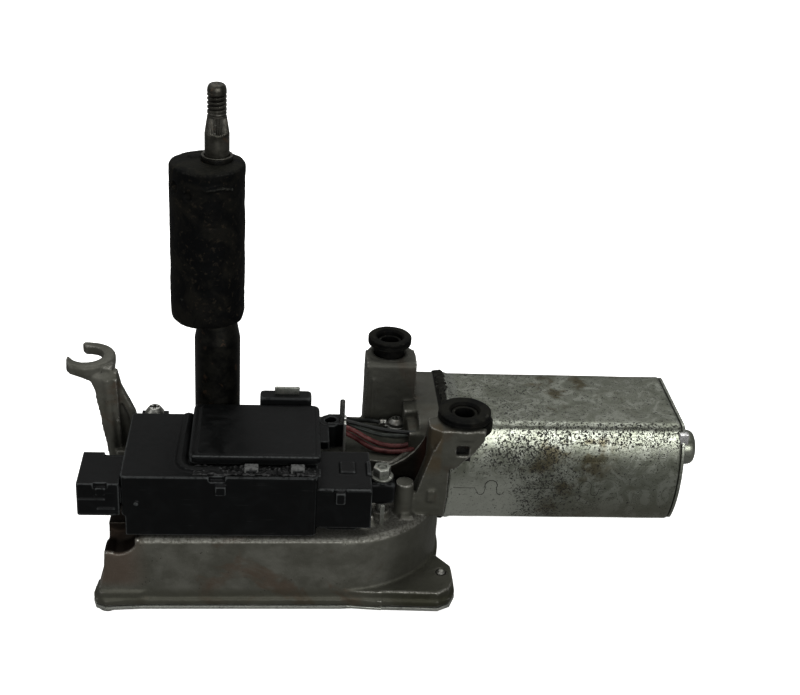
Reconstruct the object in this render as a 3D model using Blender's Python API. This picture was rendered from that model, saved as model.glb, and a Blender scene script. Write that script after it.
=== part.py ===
"""Rear windshield wiper motor: gearbox, motor, control module and output spindle.

Sizes are in millimetres and are turned into metres where meshes are made. The output spindle
stands on the Z axis, the motor lies along +X, and Z = 0 is the plane that the unit stands on.
"""

import math

import bmesh
import bpy

MM = 0.001

# Heights of the stack, from the plane it stands on.
PAD_TOP = 2.8
COVER = (2.7, 4.3)
BASE = 4.6
RIM_TOP = 7.6
EAR_TOP = 12.0
CEILING = 35.2
DECK = 37.7
PLATEAU = 44.0
LUG_PLATE = (75.2, 79.7)
GROMMET_TOP = 84.0
SPINDLE_TOP = 212.7

# Plan of the gearbox.
LEFT, FRONT, BACK, RIGHT = -43.0, -65.5, 38.0, 100.0
ROUND_CENTRE, ROUND_RADIUS = (55.0, -20.0), 45.0
WALL = 3.0
COVER_SCREWS = ((-43.5, -61.5), (99.5, -51.5), (-45.0, 32.0), (84.0, 42.5))

# Motor: a can of double-flat section on an axis along X.
MOTOR_Y, MOTOR_Z = 24.2, 31.5
CAN_X = (104.0, 213.8)
CAN_FLAT_HALF, CAN_HALF_HEIGHT, CAN_HALF_WIDTH = 24.5, 26.2, 32.0
CAN_WALL = 1.8
END_BOSS_X = 229.5
SHAFT_RADIUS = 3.5
WORM_BUSH, REAR_BUSH = (3.85, 7.7), (3.85, 6.1)
MAGNET_RADII = (22.6, 27.6)
CORE_X, CORE_RADIUS = (128.0, 190.0), 21.4
COMMUTATOR_X, COMMUTATOR_RADIUS = (108.0, 120.5), 9.0
BRUSH_PLATE_X, BRUSH_PLATE_RADIUS = (104.3, 106.3), 21.4

# Worm drive.
WORM_MODULE = 1.1
WHEEL_TEETH = 60
WORM_RADIUS = 5.2
WHEEL_RADIUS = WORM_MODULE * WHEEL_TEETH / 2
WHEEL = (58.0, MOTOR_Y - WORM_RADIUS - WHEEL_RADIUS)
WHEEL_Z = (27.6, 34.8)
WORM_TURNS = 6
CRANK_RADIUS = 10.0

# Sector gear and pinion.
SECTOR_MODULE = 1.5
PINION_TEETH, SECTOR_TEETH = 16, 36
PINION_RADIUS = SECTOR_MODULE * PINION_TEETH / 2
SECTOR_RADIUS = SECTOR_MODULE * SECTOR_TEETH / 2
SECTOR_BEARING = -60.0
CENTRES = PINION_RADIUS + SECTOR_RADIUS
SECTOR_PIVOT = (
    CENTRES * math.cos(math.radians(SECTOR_BEARING)),
    CENTRES * math.sin(math.radians(SECTOR_BEARING)),
)
SECTOR_Z = (10.5, 16.5)
ROD_Z = (21.0, 25.0)
ROCKER = 27.0
ROCKER_ANGLE = -2.7

# Output spindle and its tower.
SPINDLE_RADIUS = 5.1
CONE_Z = (192.0, 199.5)
THREAD_RADIUS = 3.95
TUBE_Z = (24.5, 99.0, 106.0, 180.0)
TUBE_RADII = (9.9, 8.45)
TUBE_BORE = 6.9
SLEEVE_Z = (110.7, 180.7)
SLEEVE_RADIUS = 15.65
SLEEVE_SHIFT = (-4.0, -1.5)

# Control module.
MODULE_X, MODULE_Y, MODULE_Z = (-36.4, 43.8), (-64.0, -12.0), (39.0, 67.2)
LID_X, LID_Y, LID_Z = (-9.5, 45.2), (-54.5, -10.0), (67.5, 71.8)
CHOKE_TOP = 74.2

# Screws and posts on the deck.
HEX_SCREW = (71.5, -46.0)
REAR_SCREW = (-28.0, 1.0)
EARTH_SCREW = (82.0, 13.0)
MODULE_BOSS = (51.0, 3.0)
DECK_POST = (81.7, -43.5)
BORE_RADIUS, CLEAR_RADIUS = 1.9, 2.3

# Mounting lugs: the rubber grommets' centres, and the open fork.
FRONT_LUG, FRONT_RUBBER = (106.5, -33.5), 11.3
REAR_LUG, REAR_RUBBER = (78.5, 32.5), 10.1
GROMMET_BORE = 5.9
EYELET = (4.3, 5.6)
FORK, FORK_INNER, FORK_OUTER = (-56.0, 9.7), 7.5, 14.0
FORK_Z = (79.3, 84.0)

MATERIALS = {
    "casting": ((0.20, 0.20, 0.18), 0.55, 0.8),
    "zinc_steel": ((0.42, 0.43, 0.40), 0.45, 0.9),
    "bright_steel": ((0.60, 0.60, 0.58), 0.35, 1.0),
    "dark_steel": ((0.09, 0.09, 0.085), 0.5, 0.8),
    "black_plastic": ((0.018, 0.019, 0.02), 0.45, 0.0),
    "rubber": ((0.012, 0.012, 0.012), 0.75, 0.0),
    "gear_plastic": ((0.62, 0.58, 0.48), 0.5, 0.0),
    "ferrite": ((0.05, 0.05, 0.055), 0.7, 0.1),
    "copper": ((0.55, 0.24, 0.12), 0.35, 1.0),
    "board": ((0.03, 0.14, 0.07), 0.5, 0.0),
    "bronze": ((0.40, 0.26, 0.12), 0.45, 0.9),
    "red_insulation": ((0.34, 0.03, 0.03), 0.5, 0.0),
    "black_insulation": ((0.02, 0.02, 0.02), 0.5, 0.0),
    "grey_insulation": ((0.13, 0.15, 0.13), 0.5, 0.0),
}


def material(name):
    if name in bpy.data.materials:
        return bpy.data.materials[name]
    colour, roughness, metallic = MATERIALS[name]
    made = bpy.data.materials.new(name)
    made.use_nodes = True
    shader = made.node_tree.nodes["Principled BSDF"]
    shader.inputs["Base Color"].default_value = (*colour, 1.0)
    shader.inputs["Roughness"].default_value = roughness
    shader.inputs["Metallic"].default_value = metallic
    return made


def mesh_object(name, points, faces):
    """An object from points in millimetres, with its faces turned outwards."""
    mesh = bpy.data.meshes.new(name)
    mesh.from_pydata([[c * MM for c in point] for point in points], [], faces)
    shape = bmesh.new()
    shape.from_mesh(mesh)
    bmesh.ops.recalc_face_normals(shape, faces=shape.faces)
    shape.to_mesh(mesh)
    shape.free()
    made = bpy.data.objects.new(name, mesh)
    bpy.context.scene.collection.objects.link(made)
    return made


def turn_to(axis, u, v, w):
    """Places a point given across (u, v) and along (w) an axis."""
    return {"X": (w, u, v), "Y": (u, w, v), "Z": (u, v, w)}[axis]


def prism(name, outline, low, high, axis="Z"):
    count = len(outline)
    points = [turn_to(axis, u, v, w) for w in (low, high) for u, v in outline]
    faces = [list(range(count)), list(range(count, 2 * count))]
    faces += [[i, (i + 1) % count, count + (i + 1) % count, count + i] for i in range(count)]
    return mesh_object(name, points, faces)


def box(name, x, y, z):
    return prism(name, [(x[0], y[0]), (x[1], y[0]), (x[1], y[1]), (x[0], y[1])], *z)


def turned(name, profile, centre=(0.0, 0.0), axis="Z", steps=20):
    """Turns (radius, height) points about an axis. A profile that starts and ends at radius 0 is
    solid, and any other profile is a closed loop round a bore."""
    points, rings = [], []
    for radius, height in profile:
        turns = 1 if radius == 0 else steps
        rings.append(list(range(len(points), len(points) + turns)))
        for i in range(turns):
            angle = 2 * math.pi * i / steps
            across = (centre[0] + radius * math.cos(angle), centre[1] + radius * math.sin(angle))
            points.append(turn_to(axis, *across, height))
    pairs = list(zip(rings, rings[1:]))
    if len(rings[0]) > 1:
        pairs.append((rings[-1], rings[0]))
    faces = []
    for lower, upper in pairs:
        for i in range(steps):
            j = (i + 1) % steps
            corners = [lower[i % len(lower)], lower[j % len(lower)]]
            corners += [upper[j % len(upper)], upper[i % len(upper)]]
            faces.append(list(dict.fromkeys(corners)))
    return mesh_object(name, points, faces)


def rod_shape(name, radius, low, high, centre=(0.0, 0.0), axis="Z", steps=20):
    return turned(name, [(0, low), (radius, low), (radius, high), (0, high)], centre, axis, steps)


def ring_shape(name, inner, outer, low, high, centre=(0.0, 0.0), axis="Z", steps=20):
    profile = [(inner, low), (outer, low), (outer, high), (inner, high)]
    return turned(name, profile, centre, axis, steps)


def combine(target, tool, operation):
    """Applies one Boolean to the target and removes the tool."""
    modifier = target.modifiers.new(operation, "BOOLEAN")
    modifier.operation = operation
    modifier.solver = "EXACT"
    modifier.object = tool
    graph = bpy.context.evaluated_depsgraph_get()
    mesh = bpy.data.meshes.new_from_object(target.evaluated_get(graph))
    target.modifiers.clear()
    target.data = mesh
    bpy.data.objects.remove(tool)
    return target


def join(target, *tools):
    for tool in tools:
        combine(target, tool, "UNION")
    return target


def cut(target, *tools):
    for tool in tools:
        combine(target, tool, "DIFFERENCE")
    return target


def finish(made, finish_name, origin=None, sharp_angle=35.0):
    """Gives a part its material and smooth shading and, if it moves, its origin on its joint."""
    made.data.materials.clear()
    made.data.materials.append(material(finish_name))
    made.data.shade_smooth()
    made.data.set_sharp_from_angle(angle=math.radians(sharp_angle))
    if origin:
        offset = [c * MM for c in origin]
        for vertex in made.data.vertices:
            vertex.co = [a - b for a, b in zip(vertex.co, offset)]
        made.location = offset
    return made


def arc(centre, radius, start, end, steps):
    """Points on a circle, with the angles in degrees."""
    angles = [math.radians(start + (end - start) * i / steps) for i in range(steps + 1)]
    return [(centre[0] + radius * math.cos(a), centre[1] + radius * math.sin(a)) for a in angles]


def capsule(a, b, radius, steps=10):
    """The outline of a link with a round end at each of its two centres."""
    heading = math.degrees(math.atan2(b[1] - a[1], b[0] - a[0]))
    end_b = arc(b, radius, heading - 90, heading + 90, steps)
    return end_b + arc(a, radius, heading + 90, heading + 270, steps)


def rounded_box(x, y, radius, steps=3):
    corners = ((x[1], y[1], 0), (x[0], y[1], 90), (x[0], y[0], 180), (x[1], y[0], 270))
    outline = []
    for px, py, start in corners:
        inner_x = px - radius if px == x[1] else px + radius
        inner_y = py - radius if py == y[1] else py + radius
        outline += arc((inner_x, inner_y), radius, start, start + 90, steps)
    return outline


# --- Gearbox -------------------------------------------------------------------------------


def gearbox_outline(inset, right):
    """The gearbox in plan: square at the left, round about the worm wheel at the right."""
    radius = ROUND_RADIUS - inset
    outline = [(LEFT + inset, FRONT + inset)]
    outline += arc(ROUND_CENTRE, radius, -90, 0, 14)
    if right < RIGHT - inset:
        outline += [(right + 8, -8), (right + 5, 0), (right, 12)]
    return outline + [(right, BACK - inset)] + arc((LEFT + 10, BACK - 10), 10 - inset, 90, 180, 4)


def right_ear(inset, low, high):
    """The large ear at the round end, which the rim keeps a little inside the base."""
    outline = [(72, -60), (72, -66.6 + inset), (97, -67.5 + inset), (102.5 - inset, -64.5 + inset)]
    outline += [(105.3 - inset, -58), (105 - inset, -47), (96, -36), (80, -45)]
    return prism("ear", outline, low, high)


def footprint(name, low, high):
    """The base's outline with its four screw ears, between two heights."""
    base = prism(name, gearbox_outline(-1.0, RIGHT + 1.0), low, high)
    left_ear = [(-30, -66.5), (-44, -67.5), (-48, -65.5), (-49.4, -61)]
    left_ear += [(-48.5, -52), (-41, -46), (-30, -50)]
    join(base, prism("ear", left_ear, low, high), right_ear(0.0, low, high))
    for x, y in COVER_SCREWS[2:]:
        join(base, prism("ear", capsule((x, y), (x + (6 if x < 0 else 0), y - 8), 5.6), low, high))
    return base


def motor_section(grow):
    """The double-flat motor section in Y and Z, larger by grow, with eased edges."""
    bulge = CAN_HALF_WIDTH - CAN_FLAT_HALF
    side = (CAN_HALF_HEIGHT**2 + bulge**2) / (2 * bulge) + grow
    middle = CAN_HALF_WIDTH + grow - side
    top = CAN_HALF_HEIGHT + grow
    ease = 5.0
    lift = math.degrees(math.asin((top - ease) / (side - ease)))
    centre = (middle + (side - ease) * math.cos(math.radians(lift)), top - ease)
    front = arc((middle, 0), side, 0, lift, 5)[:-1] + arc(centre, ease, lift, 90, 4)
    outline = front + [(-y, z) for y, z in reversed(front)]
    outline += [(-y, -z) for y, z in front[1:]] + [(y, -z) for y, z in reversed(front[1:])]
    return [(MOTOR_Y + y, MOTOR_Z + z) for y, z in outline]


def front_arm():
    """The leaning plate that carries the front grommet."""
    low, high = LUG_PLATE
    plate = [(83.5, 36.5), (99.5, 36.5), (101, 59), (110, 68.5)]
    plate += [(114.5, low), (114.5, high), (97, high), (90.6, 63)]
    arm = prism("arm", plate, -45.2, -42.6, "Y")
    lug = prism("lug", arc(FRONT_LUG, 12.4, -180, 90, 18) + [(96.5, -25)], *LUG_PLATE)
    rib = prism("rib", [(83.5, 36.5), (87.5, 36.5), (96.7, 70), (92.7, 70)], -45.0, -29.0, "Y")
    join(arm, lug, rib)
    cut(arm, rod_shape("hole", 8.8, 70, 81, FRONT_LUG))
    return cut(arm, box("window", (102.7, 108.2), (-50, -30), (67.6, 72.4)))


def rear_lug():
    """The channel-shaped pillar that carries the rear grommet."""
    pillar = box("pillar", (69.5, 92.5), (20.6, 23.2), (36.5, LUG_PLATE[1]))
    for x, top in ((69.5, 70.0), (89.0, 77.0)):
        join(pillar, box("flank", (x, x + 3.5), (22.0, 38.0), (36.5, top)))
    top = capsule(REAR_LUG, (83.0, 30.0), 12.2)
    join(pillar, prism("top", top, *LUG_PLATE))
    return cut(pillar, rod_shape("hole", 8.6, 70, 81, REAR_LUG))


def fork_lug():
    """The open C-shaped lug and the arm that rises to it from the gearbox's left wall."""
    outer = arc(FORK, FORK_OUTER, -142, 122, 20)
    inner = arc(FORK, FORK_INNER, 128, -134, 16)
    lug = prism("fork", outer + inner, *FORK_Z)
    rise = [(-43.0, 36), (-33.5, 36), (-43.5, 79.5), (-52.5, 81.5), (-50.5, 64)]
    arm = prism("arm", rise, -7.0, 1.5, "Y")
    web = prism("web", [(-42.5, 36), (-37.5, 36), (-43.5, 80.5), (-47.0, 80.5)], -4.0, 16.0, "Y")
    return join(lug, arm, web)


def deck_corner(housing):
    """The scoop in the deck's left front corner, with the wall behind it thickened."""
    join(housing, box("block", (LEFT + 0.5, -28.0), (FRONT + 0.5, -50.0), (27.0, DECK)))
    return cut(housing, box("scoop", (LEFT - 1.0, -31.0), (FRONT - 1.0, -53.0), (30.0, DECK + 2.0)))


def deck_bosses(housing):
    join(housing, rod_shape("boss", 13.2, 24.0, DECK + 1.0))
    join(housing, rod_shape("boss", 5.6, 17.2, DECK, SECTOR_PIVOT))
    join(housing, rod_shape("boss", 8.0, CEILING - 0.1, 41.5, WHEEL))
    join(housing, rod_shape("boss", 6.5, PLATEAU - 2, 47.4, EARTH_SCREW))
    join(housing, rod_shape("post", 4.0, DECK - 2, 55.5, DECK_POST, steps=16))
    join(housing, rod_shape("post", 4.2, DECK - 2, 54.7, REAR_SCREW, steps=16))
    join(housing, rod_shape("post", 4.2, DECK - 2, 41.7, HEX_SCREW, steps=16))
    return housing


def housing_bores(housing):
    motor_axis = (MOTOR_Y, MOTOR_Z)
    cut(housing, rod_shape("tube_bore", TUBE_RADII[0] + 0.3, 10, DECK + 5))
    cut(housing, rod_shape("pin_bore", 3.3, 10, 31, SECTOR_PIVOT, steps=16))
    cut(housing, rod_shape("pin_bore", 4.3, 20, 45, WHEEL, steps=16))
    cut(housing, rod_shape("worm_bore", WORM_BUSH[1] + 0.3, 21, 98, motor_axis, "X"))
    cut(housing, rod_shape("brush_bore", 20.0, 95, CAN_X[0] + 3, motor_axis, "X"))
    cut(housing, rod_shape("wire_bore", 5.3, 88, 97, (-0.5, 49.3), "X", 16))
    cut(housing, rod_shape("screw_bore", BORE_RADIUS, 40, 50, EARTH_SCREW, steps=12))
    cut(housing, rod_shape("screw_bore", BORE_RADIUS, 44, 60, REAR_SCREW, steps=12))
    cut(housing, rod_shape("screw_bore", BORE_RADIUS, 36, 60, HEX_SCREW, steps=12))
    for place in COVER_SCREWS:
        cut(housing, rod_shape("screw_bore", CLEAR_RADIUS, 0, 20, place, steps=12))
    return housing


def gear_housing():
    housing = footprint("gear_housing", BASE, RIM_TOP)
    join(housing, prism("walls", gearbox_outline(0.0, RIGHT), BASE + 0.5, DECK))
    join(housing, right_ear(0.8, BASE + 0.5, EAR_TOP))
    plateau = [(20, 2), (46, -8), (76, -13), (84, -12), (91, -6), (95.5, 4), (97, 12), (97, 37), (20, 37)]
    join(housing, prism("plateau", plateau, 30, PLATEAU))
    join(housing, prism("flange", motor_section(0.4), 91.0, CAN_X[0] - 0.3, "X"))
    join(housing, box("neck", (86.0, 92.0), (23.0, 42.0), (36.0, 53.0)))
    cut(housing, prism("cavity", gearbox_outline(WALL, 88.0), BASE - 2, CEILING))
    deck_corner(housing)
    deck_bosses(housing)
    join(housing, front_arm(), rear_lug(), fork_lug())
    return finish(housing_bores(housing), "casting")


def cover_plate():
    plate = footprint("cover_plate", *COVER)
    join(plate, rod_shape("pad", 8.0, 0.0, PAD_TOP + 0.4))
    for place in COVER_SCREWS:
        cut(plate, rod_shape("hole", CLEAR_RADIUS, 0, 8, place, steps=12))
    return finish(plate, "zinc_steel")


def cover_screws():
    for number, place in enumerate(COVER_SCREWS, 1):
        tip = 12.6 if number == 2 else 8.6
        profile = [(0, 0), (3.2, 0), (4.2, 0.8), (4.2, 2.4), (1.9, 2.4), (1.9, tip), (0, tip)]
        finish(turned(f"cover_screw_{number}", profile, place, steps=16), "bright_steel")


# --- Motor ---------------------------------------------------------------------------------


def motor_can():
    can = prism("motor_can", motor_section(0.0), *CAN_X, "X")
    cut(can, prism("inside", motor_section(-CAN_WALL), CAN_X[0] - 5, CAN_X[1] + 5, "X"))
    return finish(can, "zinc_steel")


def can_seal():
    """A thin sealing gasket squeezed between the casting's flange and the can, inside the wall."""
    low, high = CAN_X[0], CAN_X[0] + 1.7
    seal = prism("can_seal", motor_section(-CAN_WALL - 0.3), low, high, "X")
    cut(seal, prism("inside", motor_section(-CAN_WALL - 2.6), low - 5, high + 5, "X"))
    return finish(seal, "rubber")


def end_plate():
    """The plate that closes the can, with the rear bearing's cup."""
    plate = prism("end_plate", motor_section(-0.3), CAN_X[1] + 0.3, CAN_X[1] + 1.8, "X")
    join(plate, prism("spigot", motor_section(-CAN_WALL - 0.4), CAN_X[1] - 3.0, CAN_X[1] + 1.0, "X"))
    cup = [(0, 210.0), (8.0, 210.0), (8.0, END_BOSS_X - 1.5), (6.6, END_BOSS_X), (0, END_BOSS_X)]
    join(plate, turned("cup", cup, (MOTOR_Y, MOTOR_Z), "X"))
    cut(plate, rod_shape("seat", REAR_BUSH[1] + 0.3, 205.0, END_BOSS_X - 2.0, (MOTOR_Y, MOTOR_Z), "X"))
    return finish(plate, "zinc_steel")


def motor_bushes():
    finish(ring_shape("worm_end_bush", *WORM_BUSH, 22.0, 29.0, (MOTOR_Y, MOTOR_Z), "X"), "bronze")
    finish(ring_shape("front_bush", *WORM_BUSH, 88.5, 94.5, (MOTOR_Y, MOTOR_Z), "X"), "bronze")
    finish(ring_shape("rear_bush", *REAR_BUSH, 214.0, 221.0, (MOTOR_Y, MOTOR_Z), "X"), "bronze")


def magnets():
    for name, facing in (("magnet_front", 180.0), ("magnet_back", 0.0)):
        outer = arc((MOTOR_Y, MOTOR_Z), MAGNET_RADII[1], facing - 48, facing + 48, 12)
        inner = arc((MOTOR_Y, MOTOR_Z), MAGNET_RADII[0], facing + 48, facing - 48, 12)
        finish(prism(name, outer + inner, 124.0, 194.0, "X"), "ferrite")


def armature():
    axis_line = (MOTOR_Y, MOTOR_Z)
    origin = (0.0, *axis_line)
    shaft = rod_shape("armature_shaft", SHAFT_RADIUS, 24.0, 222.5, axis_line, "X", 20)
    root, tip = WORM_RADIUS - 1.3 * WORM_MODULE + 0.05, WORM_RADIUS + 0.9 * WORM_MODULE
    half_length = WORM_TURNS * math.pi * WORM_MODULE / 2 + 2.5
    core_low, core_high = WHEEL[0] - half_length, WHEEL[0] + half_length
    join(shaft, rod_shape("worm_core", root, core_low, core_high, axis_line, "X", 20))
    join(shaft, worm_thread(root, tip))
    finish(shaft, "bright_steel", origin)
    outline = []
    for pole in range(12):
        middle = pole * 30.0
        outline += arc(axis_line, CORE_RADIUS, middle - 11.5, middle + 11.5, 3)
        outline += arc(axis_line, 16.5, middle + 12.5, middle + 17.5, 1)
    core = prism("armature_core", outline, *CORE_X, "X")
    cut(core, rod_shape("bore", SHAFT_RADIUS + 0.3, 120, 200, axis_line, "X", 20))
    finish(core, "dark_steel", origin)
    for name, low in (("winding_front", 121.5), ("winding_rear", CORE_X[1] + 0.3)):
        high = low + 6.2
        profile = [(4.6, low), (14.0, low), (17.5, low + 2), (17.5, high - 1), (16.5, high), (4.6, high)]
        finish(turned(name, profile, axis_line, "X"), "copper", origin)
    barrel = ring_shape("commutator", SHAFT_RADIUS + 0.3, COMMUTATOR_RADIUS, *COMMUTATOR_X, axis_line, "X")
    finish(barrel, "copper", origin)


def worm_thread(root, tip):
    """One right-handed thread swept along the worm, with a space facing the wheel at its middle."""
    steps = 16
    lead = math.pi * WORM_MODULE
    thickness = lead / 2 - 0.42
    slope = math.tan(math.radians(20))
    stations = WORM_TURNS * steps
    points, faces = [], []
    for i in range(stations + 1):
        angle = math.pi + 2 * math.pi * (i - stations / 2) / steps
        middle = WHEEL[0] + lead / 2 + lead * (i - stations / 2) / steps
        for radius, side in ((root - 0.4, -1), (tip, -1), (tip, 1), (root - 0.4, 1)):
            half = thickness / 2 - (radius - WORM_RADIUS) * slope
            across = (MOTOR_Y + radius * math.cos(angle), MOTOR_Z + radius * math.sin(angle))
            points.append((middle + side * half, *across))
    for i in range(stations):
        a, b = 4 * i, 4 * i + 4
        faces += [[a + k, a + (k + 1) % 4, b + (k + 1) % 4, b + k] for k in range(4)]
    faces += [[0, 1, 2, 3], [4 * stations + k for k in range(4)]]
    return mesh_object("thread", points, faces)


def brush_gear():
    """The brush plate with its two guides, the brushes and their springs."""
    y, z = MOTOR_Y, MOTOR_Z
    plate = ring_shape("brush_plate", 10.5, BRUSH_PLATE_RADIUS, *BRUSH_PLATE_X, (y, z), "X", 32)
    for side in (-1, 1):
        reach = sorted((y + side * 11.0, y + side * 22.5))
        bore = sorted((y + side * 9.0, y + side * 21.5))
        join(plate, box("guide", (BRUSH_PLATE_X[1] - 0.3, 117.0), reach, (z - 4.4, z + 4.4)))
        cut(plate, box("slot", (108.3, 115.7), bore, (z - 3.4, z + 3.4)))
    finish(plate, "black_plastic")
    for number, side in ((1, -1), (2, 1)):
        reach = sorted((y + side * 9.4, y + side * 14.5))
        finish(box(f"brush_{number}", (108.7, 115.3), reach, (z - 3.0, z + 3.0)), "ferrite")
        coil = spring(f"brush_spring_{number}", y + side * 15.2, y + side * 21.0, (112.0, z))
        finish(coil, "bright_steel")


def spring(name, start, end, axis_point):
    """A compression spring along Y."""
    turns, steps, coil, wire = 3, 8, 2.2, 0.35
    points, faces = [], []
    total = turns * steps
    for i in range(total + 1):
        angle = 2 * math.pi * i / steps
        along = start + (end - start) * i / total
        for k in range(4):
            turn = math.pi * k / 2
            radius = coil + wire * math.cos(turn)
            across = (axis_point[0] + radius * math.cos(angle), axis_point[1] + radius * math.sin(angle))
            points.append((across[0], along + wire * math.sin(turn), across[1]))
    for i in range(total):
        a, b = 4 * i, 4 * i + 4
        faces += [[a + k, a + (k + 1) % 4, b + (k + 1) % 4, b + k] for k in range(4)]
    faces += [list(range(4)), [4 * total + k for k in range(4)]]
    return mesh_object(name, points, faces)


# --- Gears ---------------------------------------------------------------------------------


def worm_wheel():
    """The plastic wheel. Its teeth lean to follow the worm's thread."""
    lean = math.pi * WORM_MODULE / (2 * math.pi * WORM_RADIUS) / WHEEL_RADIUS
    middle = MOTOR_Z
    thickness = math.pi * WORM_MODULE / 2 - 0.42
    slope = math.tan(math.radians(20))
    levels = []
    for z in WHEEL_Z:
        outline = []
        for tooth in range(WHEEL_TEETH):
            heading = 2 * math.pi * tooth / WHEEL_TEETH + lean * (z - middle)
            for depth, side in ((-1.3, -1), (0.9, -1), (0.9, 1), (-1.3, 1)):
                radius = WHEEL_RADIUS + depth * WORM_MODULE
                half = thickness / 2 - depth * WORM_MODULE * slope
                angle = heading + side * half / radius
                across = (radius * math.cos(angle), radius * math.sin(angle))
                outline.append((WHEEL[0] + across[0], WHEEL[1] + across[1], z))
        levels.append(outline)
    count = len(levels[0])
    faces = [list(range(count)), list(range(count, 2 * count))]
    faces += [[i, (i + 1) % count, count + (i + 1) % count, count + i] for i in range(count)]
    wheel = mesh_object("worm_wheel", levels[0] + levels[1], faces)
    cut(wheel, rod_shape("bore", 4.4, 20, 40, WHEEL, steps=20))
    cut(wheel, ring_shape("pocket", 15.0, 27.0, WHEEL_Z[0] - 3, WHEEL_Z[0] + 3.2, WHEEL, steps=28))
    cut(wheel, rod_shape("crank_hole", 2.9, 20, 40, crank_place(), steps=16))
    finish(wheel, "gear_plastic", (*WHEEL, 0.0))


def stud_place():
    angle = math.radians(ROCKER_ANGLE)
    return (SECTOR_PIVOT[0] + ROCKER * math.cos(angle), SECTOR_PIVOT[1] + ROCKER * math.sin(angle))


def crank_place():
    """The crank pin at the dead centre: in line with the stud and beyond the wheel's axis."""
    stud = stud_place()
    length = math.dist(stud, WHEEL)
    return tuple(w + CRANK_RADIUS * (w - s) / length for w, s in zip(WHEEL, stud))


def wheel_fittings():
    pin = rod_shape("wheel_pin", 4.0, 26.3, 41.0, WHEEL, steps=20)
    finish(pin, "bright_steel")
    x, y = crank_place()
    profile = [(0, 20.2), (3.0, 20.2), (3.0, 26.2), (4.4, 26.2)]
    profile += [(4.4, 27.3), (2.6, 27.3), (2.6, 34.2), (0, 34.2)]
    finish(turned("crank_pin", profile, (x, y), steps=16), "bright_steel", (*WHEEL, 0.0))


def gear_outline(centre, teeth, first, count):
    """Involute teeth of the sector's module, counted from the heading of the first tooth."""
    pitch = SECTOR_MODULE * teeth / 2
    base = pitch * math.cos(math.radians(20))
    tip, root = pitch + 0.9 * SECTOR_MODULE, pitch - 1.25 * SECTOR_MODULE
    half_pitch = (math.pi * SECTOR_MODULE / 2 - 0.30) / 2 / pitch

    def involute(radius):
        angle = math.acos(min(1.0, base / radius))
        return math.tan(angle) - angle

    radii = [root, pitch, tip]
    outline = []
    for k in range(count):
        heading = math.radians(first) + 2 * math.pi * k / teeth
        halves = [half_pitch + involute(pitch) - involute(radius) for radius in radii]
        flank = list(zip(radii, halves))
        for radius, half in [(r, -h) for r, h in flank] + flank[::-1]:
            angle = heading + half
            outline.append((centre[0] + radius * math.cos(angle), centre[1] + radius * math.sin(angle)))
    return outline


def sector_gear():
    """The toothed quadrant that rocks on its pin and turns the pinion."""
    x, y = SECTOR_PIVOT
    toward_pinion = SECTOR_BEARING + 180.0
    teeth = gear_outline(SECTOR_PIVOT, SECTOR_TEETH, toward_pinion - 10.0, 8)
    hub = arc(SECTOR_PIVOT, 7.5, toward_pinion + 85, toward_pinion - 35, 2)
    gear = prism("sector_gear", teeth + hub, *SECTOR_Z)
    join(gear, rod_shape("hub", 8.0, *SECTOR_Z, SECTOR_PIVOT))
    join(gear, prism("arm", capsule(SECTOR_PIVOT, stud_place(), 5.6), *SECTOR_Z))
    cut(gear, rod_shape("bore", 3.3, 5, 30, SECTOR_PIVOT, steps=16))
    cut(gear, rod_shape("hole", 2.8, 5, 30, stud_place(), steps=16))
    finish(gear, "dark_steel", (x, y, 0.0))
    profile = [(0, 9.6), (2.5, 9.6), (2.5, 16.8), (3.0, 16.8), (3.0, 20.6), (0, 20.6)]
    finish(turned("sector_stud", profile, stud_place(), steps=16), "bright_steel", (x, y, 0.0))
    finish(rod_shape("sector_pin", 3.0, 9.5, 30.5, SECTOR_PIVOT, steps=16), "bright_steel")


def connecting_rod():
    """The link from the crank pin. Its far eye lies over the sector's stud."""
    rod = prism("connecting_rod", capsule(crank_place(), stud_place(), 5.5), *ROD_Z)
    for place in (crank_place(), stud_place()):
        cut(rod, rod_shape("eye", 3.3, 15, 30, place, steps=16))
    finish(rod, "zinc_steel", (*crank_place(), 0.0))


# --- Output spindle ------------------------------------------------------------------------


def spindle():
    radius = SPINDLE_RADIUS
    profile = [(0, 8.5), (radius, 8.5), (radius, CONE_Z[0]), (THREAD_RADIUS, CONE_Z[1])]
    profile += [(THREAD_RADIUS, SPINDLE_TOP - 1.1), (3.0, SPINDLE_TOP), (0, SPINDLE_TOP)]
    finish(turned("spindle", profile), "dark_steel", (0.0, 0.0, 0.0))
    teeth = gear_outline((0.0, 0.0), PINION_TEETH, SECTOR_BEARING + 180.0 / PINION_TEETH, PINION_TEETH)
    pinion = prism("pinion", teeth, SECTOR_Z[0] - 0.5, SECTOR_Z[1] + 0.5)
    cut(pinion, rod_shape("bore", radius + 0.3, 5, 30))
    finish(pinion, "bright_steel", (0.0, 0.0, 0.0))
    clip = ring_shape("spindle_circlip", radius + 0.3, 7.4, 182.2, 183.3)
    finish(clip, "bright_steel", (0.0, 0.0, 0.0))


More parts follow.
